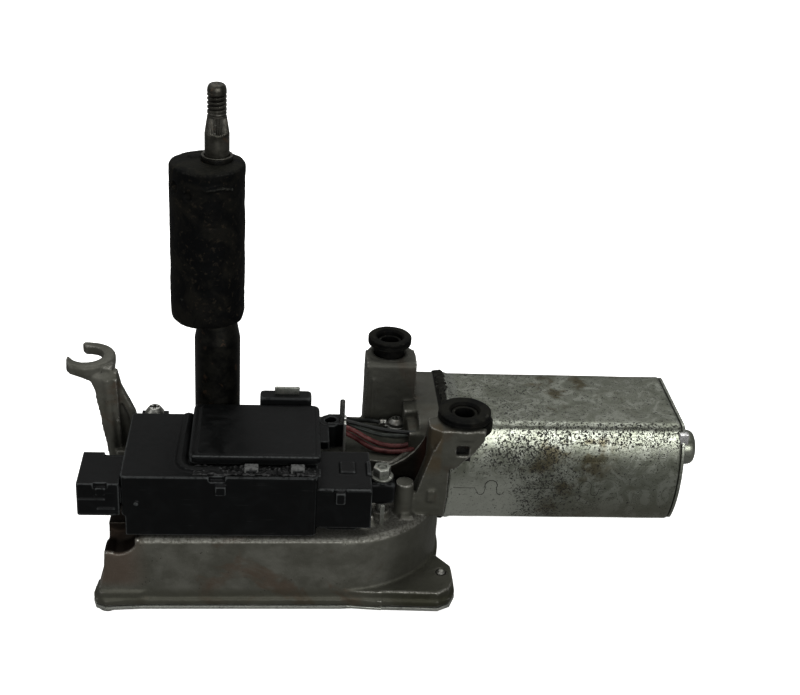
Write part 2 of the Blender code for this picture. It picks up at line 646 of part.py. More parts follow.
def tower():
    low, shoulder, neck, high = TUBE_Z
    wide, slim = TUBE_RADII
    profile = [(TUBE_BORE, low), (wide, low), (wide, shoulder)]
    profile += [(slim, neck), (slim, high), (TUBE_BORE, high)]
    finish(turned("spindle_tube", profile, steps=24), "dark_steel")
    for name, z in (("lower_bush", 26.0), ("upper_bush", 166.0)):
        finish(ring_shape(name, SPINDLE_RADIUS + 0.2, TUBE_BORE - 0.3, z, z + 13.0), "bronze")
    low, high = SLEEVE_Z
    edge = SLEEVE_RADIUS
    profile = [(0, low), (edge - 1.2, low), (edge, low + 1.4)]
    profile += [(edge, high - 1.4), (edge - 1.2, high), (0, high)]
    sleeve = turned("rubber_sleeve", profile, SLEEVE_SHIFT, steps=32)
    join(sleeve, rod_shape("nub", 1.6, low - 2.0, low + 3.0, (-13.5, -8.0), steps=10))
    cut(sleeve, rod_shape("bore", slim + 0.35, 90, 200))
    finish(sleeve, "rubber")


# --- Control module ------------------------------------------------------------------------


def module_case():
    case = prism("module_case", rounded_box(MODULE_X, MODULE_Y, 2.0, 2), *MODULE_Z)
    inner = rounded_box((MODULE_X[0] + 2, MODULE_X[1] - 2), (MODULE_Y[0] + 2, MODULE_Y[1] - 2), 1.0, 1)
    join(case, box("extension", (43.0, 66.5), (-62.0, -32.0), (42.0, 61.0)))
    join(case, box("web", (62.0, 71.5), (-50.0, -42.0), (43.0, 54.0)))
    join(case, rod_shape("boss", 5.0, 42.2, 57.0, HEX_SCREW, steps=20))
    join(case, box("arm", (42.0, 50.0), (-15.0, 2.0), (51.5, 55.5)))
    join(case, rod_shape("boss", 5.2, PLATEAU + 0.4, 56.0, MODULE_BOSS, steps=20))
    join(case, box("outlet", (50.0, 57.2), (-1.0, 8.0), (PLATEAU + 0.4, 56.5)))
    join(case, box("ear", (-34.0, -22.0), (-14.0, 5.5), (55.0, 58.5)))
    cut(case, prism("inside", inner, MODULE_Z[0] + 2.2, MODULE_Z[1] - 2.4))
    cut(case, box("mouth", (-7.5, 41.5), (-52.5, -14.2), (60.0, 75.0)))
    for place, radius in ((HEX_SCREW, CLEAR_RADIUS), (MODULE_BOSS, 2.7), (REAR_SCREW, CLEAR_RADIUS)):
        cut(case, rod_shape("screw_bore", radius, 38, 75, place, steps=12))
    for x in (20.0, 39.0):
        join(case, box("clip", (x, x + 6.0), (-61.5, -56.0), (66.5, 70.2)))
    join(case, box("tab", (2.0, 6.4), (-65.4, -63.0), (59.5, 63.6)))
    join(case, box("tab", (51.5, 55.5), (-63.4, -61.0), (55.5, 59.5)))
    cut(case, box("window", (MODULE_X[0] - 2, MODULE_X[0] + 3), (-62.0, -42.0), (51.5, 61.5)))
    return finish(case, "black_plastic")


def module_lid():
    lid = prism("module_lid", rounded_box(LID_X, LID_Y, 2.0, 2), *LID_Z)
    join(lid, prism("plug", rounded_box((-7.0, 41.0), (-52.0, -14.7), 1.0, 1), 64.5, LID_Z[0] + 0.5))
    cut(lid, box("tray", (-5.0, 39.0), (-50.0, -16.5), (60.0, LID_Z[0] + 1.6)))
    finish(lid, "black_plastic")


def connector():
    """The shroud at the module's left, its mouth facing left, and the pin header in it."""
    shroud = box("connector_shroud", (-54.0, -36.8), (-64.2, -39.5), (48.8, 64.0))
    cut(shroud, box("mouth", (-60.0, -42.5), (-62.0, -41.7), (51.0, 61.8)))
    cut(shroud, box("seat", (-43.0, -30.0), (-61.2, -42.5), (52.0, 60.8)))
    cut(shroud, box("latch", (-56.0, -46.0), (-56.0, -48.0), (61.0, 66.0)))
    finish(shroud, "black_plastic")
    header = box("pin_header", (-41.8, -35.0), (-60.6, -43.1), (52.6, 60.2))
    for row in (54.6, 58.2):
        for column in range(4):
            y = -58.6 + column * 4.5
            join(header, box("pin", (-48.0, -41.0), (y - 0.5, y + 0.5), (row - 0.5, row + 0.5)))
    finish(header, "black_plastic")


def module_contents():
    board = box("circuit_board", (-32.0, 38.0), (-60.5, -15.5), (44.5, 46.1))
    join(board, box("chip", (-22.0, -10.0), (-50.0, -38.0), (46.0, 48.5)))
    join(board, box("chip", (0.0, 8.0), (-55.0, -49.0), (46.0, 48.0)))
    join(board, rod_shape("capacitor", 5.0, 46.0, 60.0, (2.0, -28.0), steps=16))
    finish(board, "board")
    finish(box("relay", (16.0, 32.0), (-48.0, -34.0), (46.5, 60.5)), "black_plastic")


def choke_cover():
    """The upright box behind the lid, with the spring tab that grips it."""
    outline = rounded_box((19.0, 41.7), (-9.7, -2.0), 1.5, 2)
    finish(prism("choke_cover", outline, PLATEAU + 0.4, CHOKE_TOP), "black_plastic")
    tab = rounded_box((25.4, 36.4), (-6.7, -4.5), 0.9, 2)
    finish(prism("choke_tab", tab, CHOKE_TOP + 0.3, CHOKE_TOP + 3.4), "bright_steel")


def module_fasteners():
    screw = [(0, 46.0), (1.6, 46.0), (1.6, 58.8), (4.2, 58.8), (4.2, 60.4), (2.6, 62.4), (0, 62.9)]
    finish(turned("rear_screw", screw, REAR_SCREW, steps=16), "bright_steel")
    hexagon = prism("hex_screw", arc(HEX_SCREW, 4.0, 0, 300, 5), 58.0, 62.6)
    join(hexagon, rod_shape("flange", 5.0, 57.3, 58.4, HEX_SCREW))
    join(hexagon, rod_shape("shank", 1.7, 38.5, 60.0, HEX_SCREW, steps=12))
    finish(hexagon, "bright_steel")
    blade = box("blade_terminal", (57.5, 58.6), (-7.0, -1.6), (PLATEAU + 0.4, 60.0))
    join(blade, box("tip", (57.5, 58.6), (-5.8, -2.8), (59.0, 69.0)))
    finish(blade, "bright_steel")


# --- Wires ---------------------------------------------------------------------------------


def curve_value(a, b, c, d, t):
    """The Catmull-Rom value between b and c."""
    cubic = 3 * b - a - 3 * c + d
    square = 2 * a - 5 * b + 4 * c - d
    return 0.5 * (2 * b + (c - a) * t + square * t**2 + cubic * t**3)


def smooth_route(stations, spacing):
    """Points along a smooth curve through the stations."""
    ends = [stations[0]] + list(stations) + [stations[-1]]
    route = [stations[0]]
    for i in range(len(stations) - 1):
        four = ends[i : i + 4]
        steps = max(2, round(math.dist(four[1], four[2]) / spacing))
        for k in range(1, steps + 1):
            route.append(tuple(curve_value(*along, k / steps) for along in zip(*four)))
    return route


WIRES = {
    "red_wire_1": ("red_insulation", 1.15, [
        (57.9, 1.0, 53.6), (62, -1, 52.8), (68, -2.2, 49.6), (75, -2.6, 46.8),
        (83, -2.4, 46.0), (88, -2.2, 47.4), (91.5, -2.4, 48.8), (95.5, -2.6, 49.2),
    ]),
    "red_wire_2": ("red_insulation", 1.15, [
        (57.9, 1.6, 50.4), (63, -0.4, 48.4), (70, -4.4, 46.0), (77, -6.4, 45.5),
        (84, -6.0, 45.4), (88, -3.8, 45.4), (91.5, -1.6, 45.7), (95.5, -0.8, 45.9),
    ]),
    "grey_wire": ("grey_insulation", 1.0, [
        (57.9, 5.2, 53.6), (64, 3.2, 52.0), (74, 1.6, 49.6),
        (84, 1.4, 49.2), (90, 1.4, 50.0), (95.5, 1.4, 50.4),
    ]),
    "dark_wire": ("black_insulation", 1.0, [
        (57.9, 3.6, 55.4), (66, 1.6, 54.4), (76, -0.6, 53.4),
        (86, -1.6, 52.8), (91, -1.4, 52.5), (95.5, -1.2, 52.6),
    ]),
    "earth_wire": ("black_insulation", 1.0, [
        (57.9, 6.8, 54.8), (62, 8.4, 52.8), (66, 11, 51.4), (70, 13, 50.2), (73.9, 13, 49.5),
    ]),
}


def wires():
    for name, (colour, radius, stations) in WIRES.items():
        curve = bpy.data.curves.new(name, "CURVE")
        curve.dimensions = "3D"
        curve.bevel_depth = radius * MM
        curve.bevel_resolution = 2
        curve.use_fill_caps = True
        route = smooth_route(stations, 2.4)
        spline = curve.splines.new("POLY")
        spline.points.add(len(route) - 1)
        for point, place in zip(spline.points, route):
            point.co = (*[c * MM for c in place], 1.0)
        curve.materials.append(material(colour))
        made = bpy.data.objects.new(name, curve)
        bpy.context.scene.collection.objects.link(made)


def earth_point():
    """The ring terminal on its boss, with its barrel and screw."""
    ring = ring_shape("ring_terminal", CLEAR_RADIUS, 4.6, 47.7, 48.6, EARTH_SCREW, steps=20)
    join(ring, box("strap", (76.5, 79.0), (11.6, 14.4), (47.7, 48.6)))
    join(ring, rod_shape("barrel", 1.5, 74.3, 77.5, (13.0, 49.4), "X", 12))
    finish(ring, "bright_steel")
    screw = [(0, 41.0), (1.6, 41.0), (1.6, 48.9), (3.9, 48.9), (3.9, 50.6), (2.8, 51.8), (0, 51.8)]
    finish(turned("earth_screw", screw, EARTH_SCREW, steps=16), "bright_steel")


# --- Grommets ------------------------------------------------------------------------------


def grommets():
    low, high = LUG_PLATE[0] - 0.3, LUG_PLATE[1] + 0.3
    waist = 8.2
    for name, place, radius in (("front", FRONT_LUG, FRONT_RUBBER), ("rear", REAR_LUG, REAR_RUBBER)):
        profile = [(GROMMET_BORE, 70.8), (8.0, 70.8), (8.9, 72.0), (8.9, low), (waist, low), (waist, high)]
        profile += [(radius, high), (radius, GROMMET_TOP - 1.0), (radius - 0.9, GROMMET_TOP)]
        profile.append((GROMMET_BORE, GROMMET_TOP))
        finish(turned(f"{name}_grommet", profile, place, steps=28), "rubber")
        finish(ring_shape(f"{name}_sleeve", *EYELET, 71.0, GROMMET_TOP - 1.6, place), "bright_steel")


def main():
    for old in list(bpy.data.objects):
        bpy.data.objects.remove(old)
    gear_housing()
    cover_plate()
    cover_screws()
    motor_can()
    can_seal()
    end_plate()
    motor_bushes()
    magnets()
    armature()
    brush_gear()
    worm_wheel()
    wheel_fittings()
    sector_gear()
    connecting_rod()
    spindle()
    tower()
    module_case()
    module_lid()
    connector()
    module_contents()
    choke_cover()
    module_fasteners()
    wires()
    earth_point()
    grommets()


main()
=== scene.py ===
"""Looks of the rear wiper motor unit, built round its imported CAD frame.

Lengths are in millimetres and become metres where meshes are made. The output spindle stands on the
Z axis, the motor lies along +X, and the front, with the control module, faces -Y.
"""

import math

import bmesh
import bpy
import numpy as np
from mathutils import Matrix, Vector, noise


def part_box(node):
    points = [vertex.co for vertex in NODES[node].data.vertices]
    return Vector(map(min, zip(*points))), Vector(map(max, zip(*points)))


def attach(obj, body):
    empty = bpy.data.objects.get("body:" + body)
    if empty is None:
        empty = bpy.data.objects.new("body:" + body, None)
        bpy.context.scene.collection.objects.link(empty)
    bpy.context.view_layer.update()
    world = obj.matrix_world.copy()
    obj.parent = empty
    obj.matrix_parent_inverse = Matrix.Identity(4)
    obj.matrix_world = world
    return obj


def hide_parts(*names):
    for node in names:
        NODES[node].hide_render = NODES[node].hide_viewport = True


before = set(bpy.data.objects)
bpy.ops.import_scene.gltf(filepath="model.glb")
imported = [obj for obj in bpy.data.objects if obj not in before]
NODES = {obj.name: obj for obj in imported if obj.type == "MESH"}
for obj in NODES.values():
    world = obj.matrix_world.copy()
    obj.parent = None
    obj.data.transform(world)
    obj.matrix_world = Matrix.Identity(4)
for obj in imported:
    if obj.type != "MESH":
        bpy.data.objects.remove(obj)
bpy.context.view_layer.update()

MM = 0.001


def limits(node):
    """Lowest and highest corner of a CAD node."""
    low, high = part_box(node)
    return low / MM, high / MM


def middle_of(node):
    """The centre of a CAD node in X and Y."""
    low, high = limits(node)
    return ((low.x + high.x) / 2, (low.y + high.y) / 2)


# Driving dimensions, read from the frame or repeated from the part.
CAN_LOW, CAN_HIGH = limits("motor_can")
MOTOR_Y = (CAN_LOW.y + CAN_HIGH.y) / 2
MOTOR_Z = (CAN_LOW.z + CAN_HIGH.z) / 2
CAN_HALF_WIDTH = (CAN_HIGH.y - CAN_LOW.y) / 2
CAN_HALF_HEIGHT = (CAN_HIGH.z - CAN_LOW.z) / 2
CAN_FLAT_HALF = 24.5
CAN_WALL = 1.8
SLEEVE_LOW, SLEEVE_HIGH = limits("rubber_sleeve")
TUBE_LOW, TUBE_HIGH = limits("spindle_tube")
SPINDLE_LOW, SPINDLE_HIGH = limits("spindle")
CASE_LOW = limits("module_case")[0]
LID_LOW, LID_HIGH = limits("module_lid")
SHROUD_LOW, SHROUD_HIGH = limits("connector_shroud")
DECK = 37.7
PLATEAU = 44.0
FRONT = -65.5
ROUND_CENTRE, ROUND_RADIUS = (55.0, -20.0), 45.0
FRONT_LUG_TOP = 79.7
REAR_LUG_Y, REAR_LUG_TOP = 20.6, 76.2
REAR_GROMMET = (78.5, 32.5)
EAR_FOOT = [(52.0, FRONT + 0.2), (73.0, -67.3), (73.0, -60.0), (52.0, -60.0)]
FORK, FORK_RADIUS, FORK_TOP = (-58.2, 10.4), 12.6, 84.0
LID_SEAT = 67.2
CONE, KNURLS, KNURL_DEPTH = (192.0, 199.5), 40, 0.28
THREAD_PITCH, THREAD_DEPTH = 1.75, 0.75
ABOVE = 90.0


# --- Meshes --------------------------------------------------------------------------------


def add(name, mesh):
    made = bpy.data.objects.new(name, mesh)
    bpy.context.scene.collection.objects.link(made)
    return made


def solid(name, points, faces):
    """A closed mesh from points in millimetres, with its faces turned outwards."""
    mesh = bpy.data.meshes.new(name)
    mesh.from_pydata([[c * MM for c in point] for point in points], [], faces)
    shape = bmesh.new()
    shape.from_mesh(mesh)
    bmesh.ops.recalc_face_normals(shape, faces=shape.faces)
    shape.to_mesh(mesh)
    shape.free()
    return add(name, mesh)


def turn_to(axis, u, v, w):
    """Places a point given across (u, v) and along (w) an axis."""
    return {"X": (w, u, v), "Y": (u, w, v), "Z": (u, v, w)}[axis]


def applied(piece):
    """Bakes a piece's modifiers into its mesh."""
    graph = bpy.context.evaluated_depsgraph_get()
    mesh = bpy.data.meshes.new_from_object(piece.evaluated_get(graph))
    piece.modifiers.clear()
    piece.data = mesh
    return piece


def bevel(piece, width, segments=3, angle=35.0):
    modifier = piece.modifiers.new("bevel", "BEVEL")
    modifier.width = width * MM
    modifier.segments = segments
    modifier.limit_method = "ANGLE"
    modifier.angle_limit = math.radians(angle)
    modifier.harden_normals = False
    return applied(piece)


def rounded(corners, steps=5):
    """An outline from corners (u, v, radius), each one rounded."""
    outline = []
    count = len(corners)
    for i, (u, v, radius) in enumerate(corners):
        here = Vector((u, v))
        before = Vector(corners[i - 1][:2]) - here
        after = Vector(corners[(i + 1) % count][:2]) - here
        if radius == 0:
            outline.append((u, v))
            continue
        reach = radius / math.tan(before.angle(after) / 2)
        start = here + before * min(0.49, reach / before.length)
        end = here + after * min(0.49, reach / after.length)
        for k in range(steps + 1):
            t = k / steps
            outline.append(tuple(start * (1 - t) ** 2 + here * 2 * t * (1 - t) + end * t**2))
    return outline


def arc(centre, radius, start, end, steps):
    """Points on a circle, with the angles in degrees."""
    angles = [math.radians(start + (end - start) * i / steps) for i in range(steps + 1)]
    return [(centre[0] + radius * math.cos(a), centre[1] + radius * math.sin(a)) for a in angles]


def skin(name, rings, closed=False):
    """A closed mesh through rings of equal length. The last one joins the first when closed, and
    otherwise both are filled."""
    count = len(rings[0])
    points = [point for ring in rings for point in ring]
    last = (len(rings) - 1) * count
    faces = [] if closed else [list(range(count)), [last + i for i in range(count)]]
    for a in range(len(rings) if closed else len(rings) - 1):
        low, high = a * count, (a + 1) % len(rings) * count
        for i in range(count):
            j = (i + 1) % count
            faces.append([low + i, low + j, high + j, high + i])
    return solid(name, points, faces)


def prism(name, outline, low, high, axis="Z", edge=0.0):
    made = skin(name, [[turn_to(axis, u, v, w) for u, v in outline] for w in (low, high)])
    return bevel(made, edge) if edge else made


def box(name, x, y, z, edge=0.0, corner=0.0):
    corners = [(x[0], y[0], corner), (x[1], y[0], corner), (x[1], y[1], corner), (x[0], y[1], corner)]
    return prism(name, rounded(corners), *z, edge=edge)


def blocks(*rows):
    """Boxes from rows of ranges in X, Y and Z, an edge and a corner radius."""
    return [box("block", *row) for row in rows]


def lathe(name, profile, centre=(0.0, 0.0), axis="Z", steps=72, shape=None):
    """Turns (radius, height) points about an axis. A profile that starts and ends at radius 0 is
    solid, and any other one is a closed loop round a bore. shape may change the radius by angle."""
    points, rings = [], []
    for radius, height in profile:
        turns = 1 if radius == 0 else steps
        rings.append(list(range(len(points), len(points) + turns)))
        for i in range(turns):
            angle = 2 * math.pi * i / steps
            reach = shape(radius, height, angle) if shape and radius else radius
            across = (centre[0] + reach * math.cos(angle), centre[1] + reach * math.sin(angle))
            points.append(turn_to(axis, *across, height))
    pairs = list(zip(rings, rings[1:]))
    if len(rings[0]) > 1:
        pairs.append((rings[-1], rings[0]))
    faces = []
    for lower, upper in pairs:
        for i in range(steps):
            j = (i + 1) % steps
            corners = [lower[i % len(lower)], lower[j % len(lower)]]
            corners += [upper[j % len(upper)], upper[i % len(upper)]]
            faces.append(list(dict.fromkeys(corners)))
    return solid(name, points, faces)


def turned(name, corners, **options):
    """A lathe of a profile whose corners (radius, height, rounding) are rounded."""
    return lathe(name, rounded(corners, 4), **options)


def copy_of(node, name=None):
    """A CAD node's shape as a new object, with its split points merged."""
    shape = bmesh.new()
    shape.from_mesh(NODES[node].data)
    bmesh.ops.remove_doubles(shape, verts=shape.verts, dist=0.002 * MM)
    bmesh.ops.dissolve_limit(shape, angle_limit=math.radians(1.0), verts=shape.verts, edges=shape.edges)
    mesh = bpy.data.meshes.new(name or node)
    shape.to_mesh(mesh)
    shape.free()
    return add(name or node, mesh)


def cut(piece, *tools):
    for tool in tools:
        modifier = piece.modifiers.new("cut", "BOOLEAN")
        modifier.operation = "DIFFERENCE"
        modifier.solver = "EXACT"
        modifier.object = tool
        applied(piece)
        bpy.data.objects.remove(tool)
    return piece


def joined(name, parts):
    """One object that holds the meshes of several."""
    shape = bmesh.new()
    for part in parts:
        shape.from_mesh(part.data)
        bpy.data.objects.remove(part)
    mesh = bpy.data.meshes.new(name)
    shape.to_mesh(mesh)
    shape.free()
    return add(name, mesh)


def loft(name, lower, upper, z):
    """A solid between two outlines with the same number of points."""
    return skin(name, [[(x, y, height) for x, y in outline] for outline, height in zip((lower, upper), z)])


def ellipse(centre, half, steps=20):
    angles = [2 * math.pi * i / steps for i in range(steps)]
    return [(centre[0] + half[0] * math.cos(a), centre[1] + half[1] * math.sin(a)) for a in angles]


def melted(name, parts, voxel, smoothing=4):
    """Overlapping closed shapes merged into one skin with soft edges, as castings have."""
    piece = joined(name, parts)
    modifier = piece.modifiers.new("remesh", "REMESH")
    modifier.mode = "VOXEL"
    modifier.voxel_size = voxel * MM
    modifier.use_smooth_shade = True
    applied(piece)
    modifier = piece.modifiers.new("smooth", "SMOOTH")
    modifier.factor = 0.5
    modifier.iterations = smoothing
    return applied(piece)


def strand(name, route, radius, sides=4, closed=False):
    """A round bar along points, as a closed mesh."""
    curve = bpy.data.curves.new(name, "CURVE")
    curve.dimensions = "3D"
    curve.bevel_depth = radius * MM
    curve.bevel_resolution = sides
    curve.use_fill_caps = not closed
    spline = curve.splines.new("POLY")
    spline.use_cyclic_u = closed
    spline.points.add(len(route) - 1)
    for point, spot in zip(spline.points, route):
        point.co = (*[c * MM for c in spot], 1.0)
    made = bpy.data.objects.new(name, curve)
    bpy.context.scene.collection.objects.link(made)
    graph = bpy.context.evaluated_depsgraph_get()
    mesh = bpy.data.meshes.new_from_object(made.evaluated_get(graph))
    bpy.data.objects.remove(made)
    return add(name, mesh)


def places(piece):
    """The points of a piece's mesh in millimetres."""
    found = np.empty(len(piece.data.vertices) * 3, np.float32)
    piece.data.vertices.foreach_get("co", found)
    return found.reshape(-1, 3) / MM


def normals(piece):
    found = np.empty(len(piece.data.vertices) * 3, np.float32)
    piece.data.vertices.foreach_get("normal", found)
    return found.reshape(-1, 3)


def set_places(piece, points):
    piece.data.vertices.foreach_set("co", (points * MM).astype(np.float32).ravel())
    piece.data.update()


def waves(points, size, seed):
    """Smooth noise from -1 to 1 at each point, with bumps of about the given size."""
    shift = Vector((seed * 7.3, seed * 3.1, seed * 5.7))
    return np.array([noise.noise(Vector(p) / size + shift) for p in points.tolist()])


def roughen(piece, *layers):
    """Moves the points along their normals by layers of noise (size, depth)."""
    points, out = places(piece), normals(piece)
    for seed, (size, depth) in enumerate(layers, 1):
        points = points + out * (depth * waves(points, size, seed))[:, None]
    set_places(piece, points)
    return piece


def round_off(first, second, radius):
    """How far to pull points from a square edge's two faces for a round edge. first and second are
    their depths below the faces."""
    near = (first < radius) & (second < radius)
    a, b = radius - first, radius - second
    reach = np.sqrt(a**2 + b**2)
    share = np.where(near & (reach > radius), radius / np.maximum(reach, 1e-6), 1.0)
    return radius - a * share - first, radius - b * share - second


def pull_in(points, chosen, amount, centre, reach):
    """Moves the chosen points towards an upright axis that is their reach away."""
    for axis in (0, 1):
        points[:, axis] -= np.where(chosen, amount * (points[:, axis] - centre[axis]) / reach, 0.0)


# --- Finishes ------------------------------------------------------------------------------


class Finish:
    """A Principled material with short calls for the nodes that these finishes are made of.
    Sizes of patterns are in millimetres."""

    def __init__(self, name, **sockets):
        self.material = bpy.data.materials.new(name)
        self.material.use_nodes = True
        self.tree = self.material.node_tree
        self.shader = self.tree.nodes["Principled BSDF"]
        for socket, value in sockets.items():
            self.shader.inputs[socket.replace("_", " ")].default_value = value
        self.place = self.node("TexCoord").outputs["Object"]
        self.bumps = None
        self.colour = None

    def node(self, kind, **inputs):
        made = self.tree.nodes.new("ShaderNode" + kind)
        for name, value in inputs.items():
            self.feed(made.inputs[name.replace("_", " ")], value)
        return made

    def feed(self, socket, value):
        if isinstance(value, bpy.types.NodeSocket):
            self.tree.links.new(value, socket)
        elif isinstance(value, tuple) and len(value) == 3 and socket.type == "RGBA":
            socket.default_value = (*value, 1.0)
        else:
            socket.default_value = value

    def noise(self, size, detail=4.0, roughness=0.55, distortion=0.0, stretch=None):
        place = self.place
        if stretch:
            place = self.node("Mapping", Vector=place, Scale=stretch).outputs["Vector"]
        made = self.node("TexNoise", Vector=place, Scale=1 / (size * MM), Detail=detail)
        made.inputs["Roughness"].default_value = roughness
        made.inputs["Distortion"].default_value = distortion
        return made.outputs["Fac"]

    def cells(self, size, feature="F1", shake=0.0):
        place = self.place
        if shake:
            wobble = self.node("TexNoise", Vector=place, Scale=1 / (2 * size * MM), Detail=3.0)
            offset = self.node("VectorMath", Vector=wobble.outputs["Color"])
            offset.operation = "SCALE"
            offset.inputs["Scale"].default_value = shake * MM
            total = self.node("VectorMath")
            total.operation = "ADD"
            self.feed(total.inputs[0], place)
            self.feed(total.inputs[1], offset.outputs["Vector"])
            place = total.outputs["Vector"]
        made = self.node("TexVoronoi", Vector=place, Scale=1 / (size * MM))
        made.feature = feature
        return made.outputs["Distance"]

    def band(self, value, low, high):
        """0 below low and 1 above high, or the other way round when low is above high."""
        made = self.node("MapRange", Value=value)
        made.interpolation_type = "SMOOTHSTEP"
        ends = (low, high, 0.0, 1.0) if low < high else (high, low, 1.0, 0.0)
        for name, number in zip(("From Min", "From Max", "To Min", "To Max"), ends):
            made.inputs[name].default_value = number
        return made.outputs["Result"]

    def maths(self, operation, a, b=0.0):
        made = self.node("Math")
        made.operation = operation
        self.feed(made.inputs[0], a)
        self.feed(made.inputs[1], b)
        return made.outputs["Value"]

    def both(self, *shares):
        """The product of two or more shares."""
        product = shares[0]
        for share in shares[1:]:
            product = self.maths("MULTIPLY", product, share)
        return product

    def most(self, *shares):
        """The largest of two or more shares."""
        largest = shares[0]
        for share in shares[1:]:
            largest = self.maths("MAXIMUM", largest, share)
        return largest

    def zone(self, *spans):
        """1 where each (value, low, high) has its band at 1."""
        return self.both(*[self.band(*span) for span in spans])

    def mix(self, share, a, b):
        made = self.node("Mix")
        made.data_type = "RGBA"
        self.feed(made.inputs["Factor"], share)
        self.feed(made.inputs[6], a)
        self.feed(made.inputs[7], b)
        return made.outputs[2]

    def level(self, share, low, high):
        """A number that runs from low to high with share."""
        made = self.node("MapRange", Value=share)
        made.inputs["To Min"].default_value = low
        made.inputs["To Max"].default_value = high
        return made.outputs["Result"]

    def along(self, axis):
        """The position along one axis, in millimetres."""
        split = self.node("SeparateXYZ", Vector=self.place)
        return self.maths("MULTIPLY", split.outputs[axis], 1 / MM)

    def facing(self, axis):
        """How far the surface faces along an axis, from -1 to 1."""
        split = self.node("SeparateXYZ", Vector=self.node("NewGeometry").outputs["Normal"])
        return split.outputs[axis]

    def ridges(self, low, high):
        """1 on outward edges."""
        return self.band(self.node("NewGeometry").outputs["Pointiness"], low, high)

    def bump(self, height, depth):
        made = self.node("Bump", Height=height, Distance=depth * MM, Strength=1.0)
        if self.bumps:
            self.feed(made.inputs["Normal"], self.bumps)
        self.bumps = made.outputs["Normal"]

    def coat(self, tint, *shares):
        """Lays a tint over the colour so far, as far as all the shares go."""
        self.colour = self.mix(self.both(*shares), self.colour, tint)

    def done(self, roughness, metallic=None):
        self.feed(self.shader.inputs["Base Color"], self.colour)
        self.feed(self.shader.inputs["Roughness"], roughness)
        if metallic is not None:
            self.feed(self.shader.inputs["Metallic"], metallic)
        if self.bumps:
            self.feed(self.shader.inputs["Normal"], self.bumps)
        return self.material


def times(factor, tint):
    return tuple(factor * c for c in tint)


def cast_aluminium():
    """Dull sand-grey casting with grime low down, brown stains, a bright rubbed deck edge, and painted shade
    on its front right, the plateau under the wires, the rear lug, the wall below the fin, the gap by the
    motor flange and the left scoop.
    """
    f = Finish("cast_aluminium")
    blotch, grain = f.noise(16.0, 5.0, 0.6), f.noise(0.7, 5.0, 0.7)
    stain, specks = f.noise(26.0, 4.0, 0.6, 0.6), f.cells(1.6, shake=1.0)
    x, y, z = [f.along(axis) for axis in "XYZ"]
    f.colour = f.mix(f.band(blotch, 0.36, 0.66), (0.080, 0.079, 0.064), (0.125, 0.124, 0.106))
    f.coat((0.085, 0.055, 0.036), f.band(stain, 0.55, 0.66), 0.6)
    left_corner = f.zone((x, -24.0, -36.0), (y, -52.0, -60.0), (z, 12.0, 18.0))
    f.coat((0.115, 0.075, 0.055), left_corner, 0.5)
    arm = f.zone((z, 55.0, 64.0), (x, 97.5, 95.5), (x, 88.0, 90.0), (y, -37.0, -40.0))
    f.coat((0.115, 0.080, 0.042), arm, f.level(f.band(stain, 0.40, 0.6), 0.35, 0.9))
    f.coat((0.19, 0.185, 0.165), f.band(grain, 0.60, 0.74), 0.6)
    f.coat((0.03, 0.028, 0.022), f.zone((specks, 0.20, 0.10), (f.noise(9.0, 3.0, 0.6), 0.56, 0.64)))
    # Painted shade: the casting darkens in blotches towards its front right, past x 66 and in front of y 30.
    f.coat((0.040, 0.040, 0.030), f.zone((x, 66.0, 84.0), (y, 30.0, -10.0)), f.level(blotch, 0.3, 0.75))
    patches = f.level(f.band(blotch, 0.36, 0.60), 0.35, 1.0)
    f.coat((0.030, 0.030, 0.016), f.band(z, 14.0, 10.0), patches, f.level(f.band(x, 70.0, 85.0), 0.6, 0.95))
    # Painted shade: dark patches on the plateau top under the wires.
    floor = f.zone((x, 55.0, 58.0), (y, -14.0, -10.0), (z, DECK + 4.0, DECK + 6.0), (z, 55.0, 50.0))
    patches = f.level(f.band(blotch, 0.40, 0.58), 0.35, 0.8)
    f.coat((0.045, 0.046, 0.034), floor, patches, f.band(y, 30.0, 16.0))
    # Painted shade: the rear lug, above z 56 and behind y 18, is darkened.
    f.coat((0.045, 0.045, 0.038), f.zone((y, 14.0, 18.0), (x, 60.0, 64.0), (z, 50.0, 56.0)), 0.55)
    rubbed = f.zone((z, DECK - 4.5, DECK - 1.0), (z, DECK + 0.6, DECK + 0.1), (f.facing("Z"), 0.15, 0.5),
                    (f.noise(1.3, 4.0, 0.7), 0.36, 0.60), (y, -8.0, -20.0), (x, -31.0, -26.0))
    worn = f.most(f.both(f.ridges(0.515, 0.56), f.band(grain, 0.38, 0.56)), f.both(rubbed, 0.45))
    f.coat((0.32, 0.315, 0.29), worn)
    # Painted shadow: near black on the front face of the thin wall below the fin, turning rust brown towards
    # the right.
    behind = f.zone((y, -38.4, -37.6), (y, -36.0, -36.6), (f.facing("Y"), -0.5, -0.8),
                    (z, 38.5, 41.0), (x, 72.0, 75.0), (x, 92.5, 91.0))
    f.coat(f.mix(f.band(x, 85.0, 91.0), (0.007, 0.006, 0.005), (0.026, 0.011, 0.008)), behind, 0.95)
    # Painted shade: near black on the casting at the gap beside the motor flange.
    flange_gap_shade = f.zone((x, 101.0, 101.6), (y, -42.5, -41.8), (z, 7.0, 8.0))
    f.coat((0.006, 0.006, 0.005), flange_gap_shade, 0.95)
    # Painted shade: the left scoop under the module's overhang is darkened to a red-brown near black.
    scoop = f.zone((x, -27.0, -31.0), (y, -65.0, -63.5), (y, -42.0, -46.0), (z, 28.0, 31.0), (z, 40.0, 39.0))
    f.coat((0.012, 0.008, 0.006), scoop, 0.85)
    f.coat((0.016, 0.014, 0.010), f.ridges(0.48, 0.43), 0.85)
    f.bump(grain, 0.10)
    f.bump(f.noise(3.2, 3.0, 0.6), 0.12)
    return f.done(f.level(worn, 0.60, 0.36), f.most(f.level(worn, 0.58, 0.95), behind, flange_gap_shade, scoop))


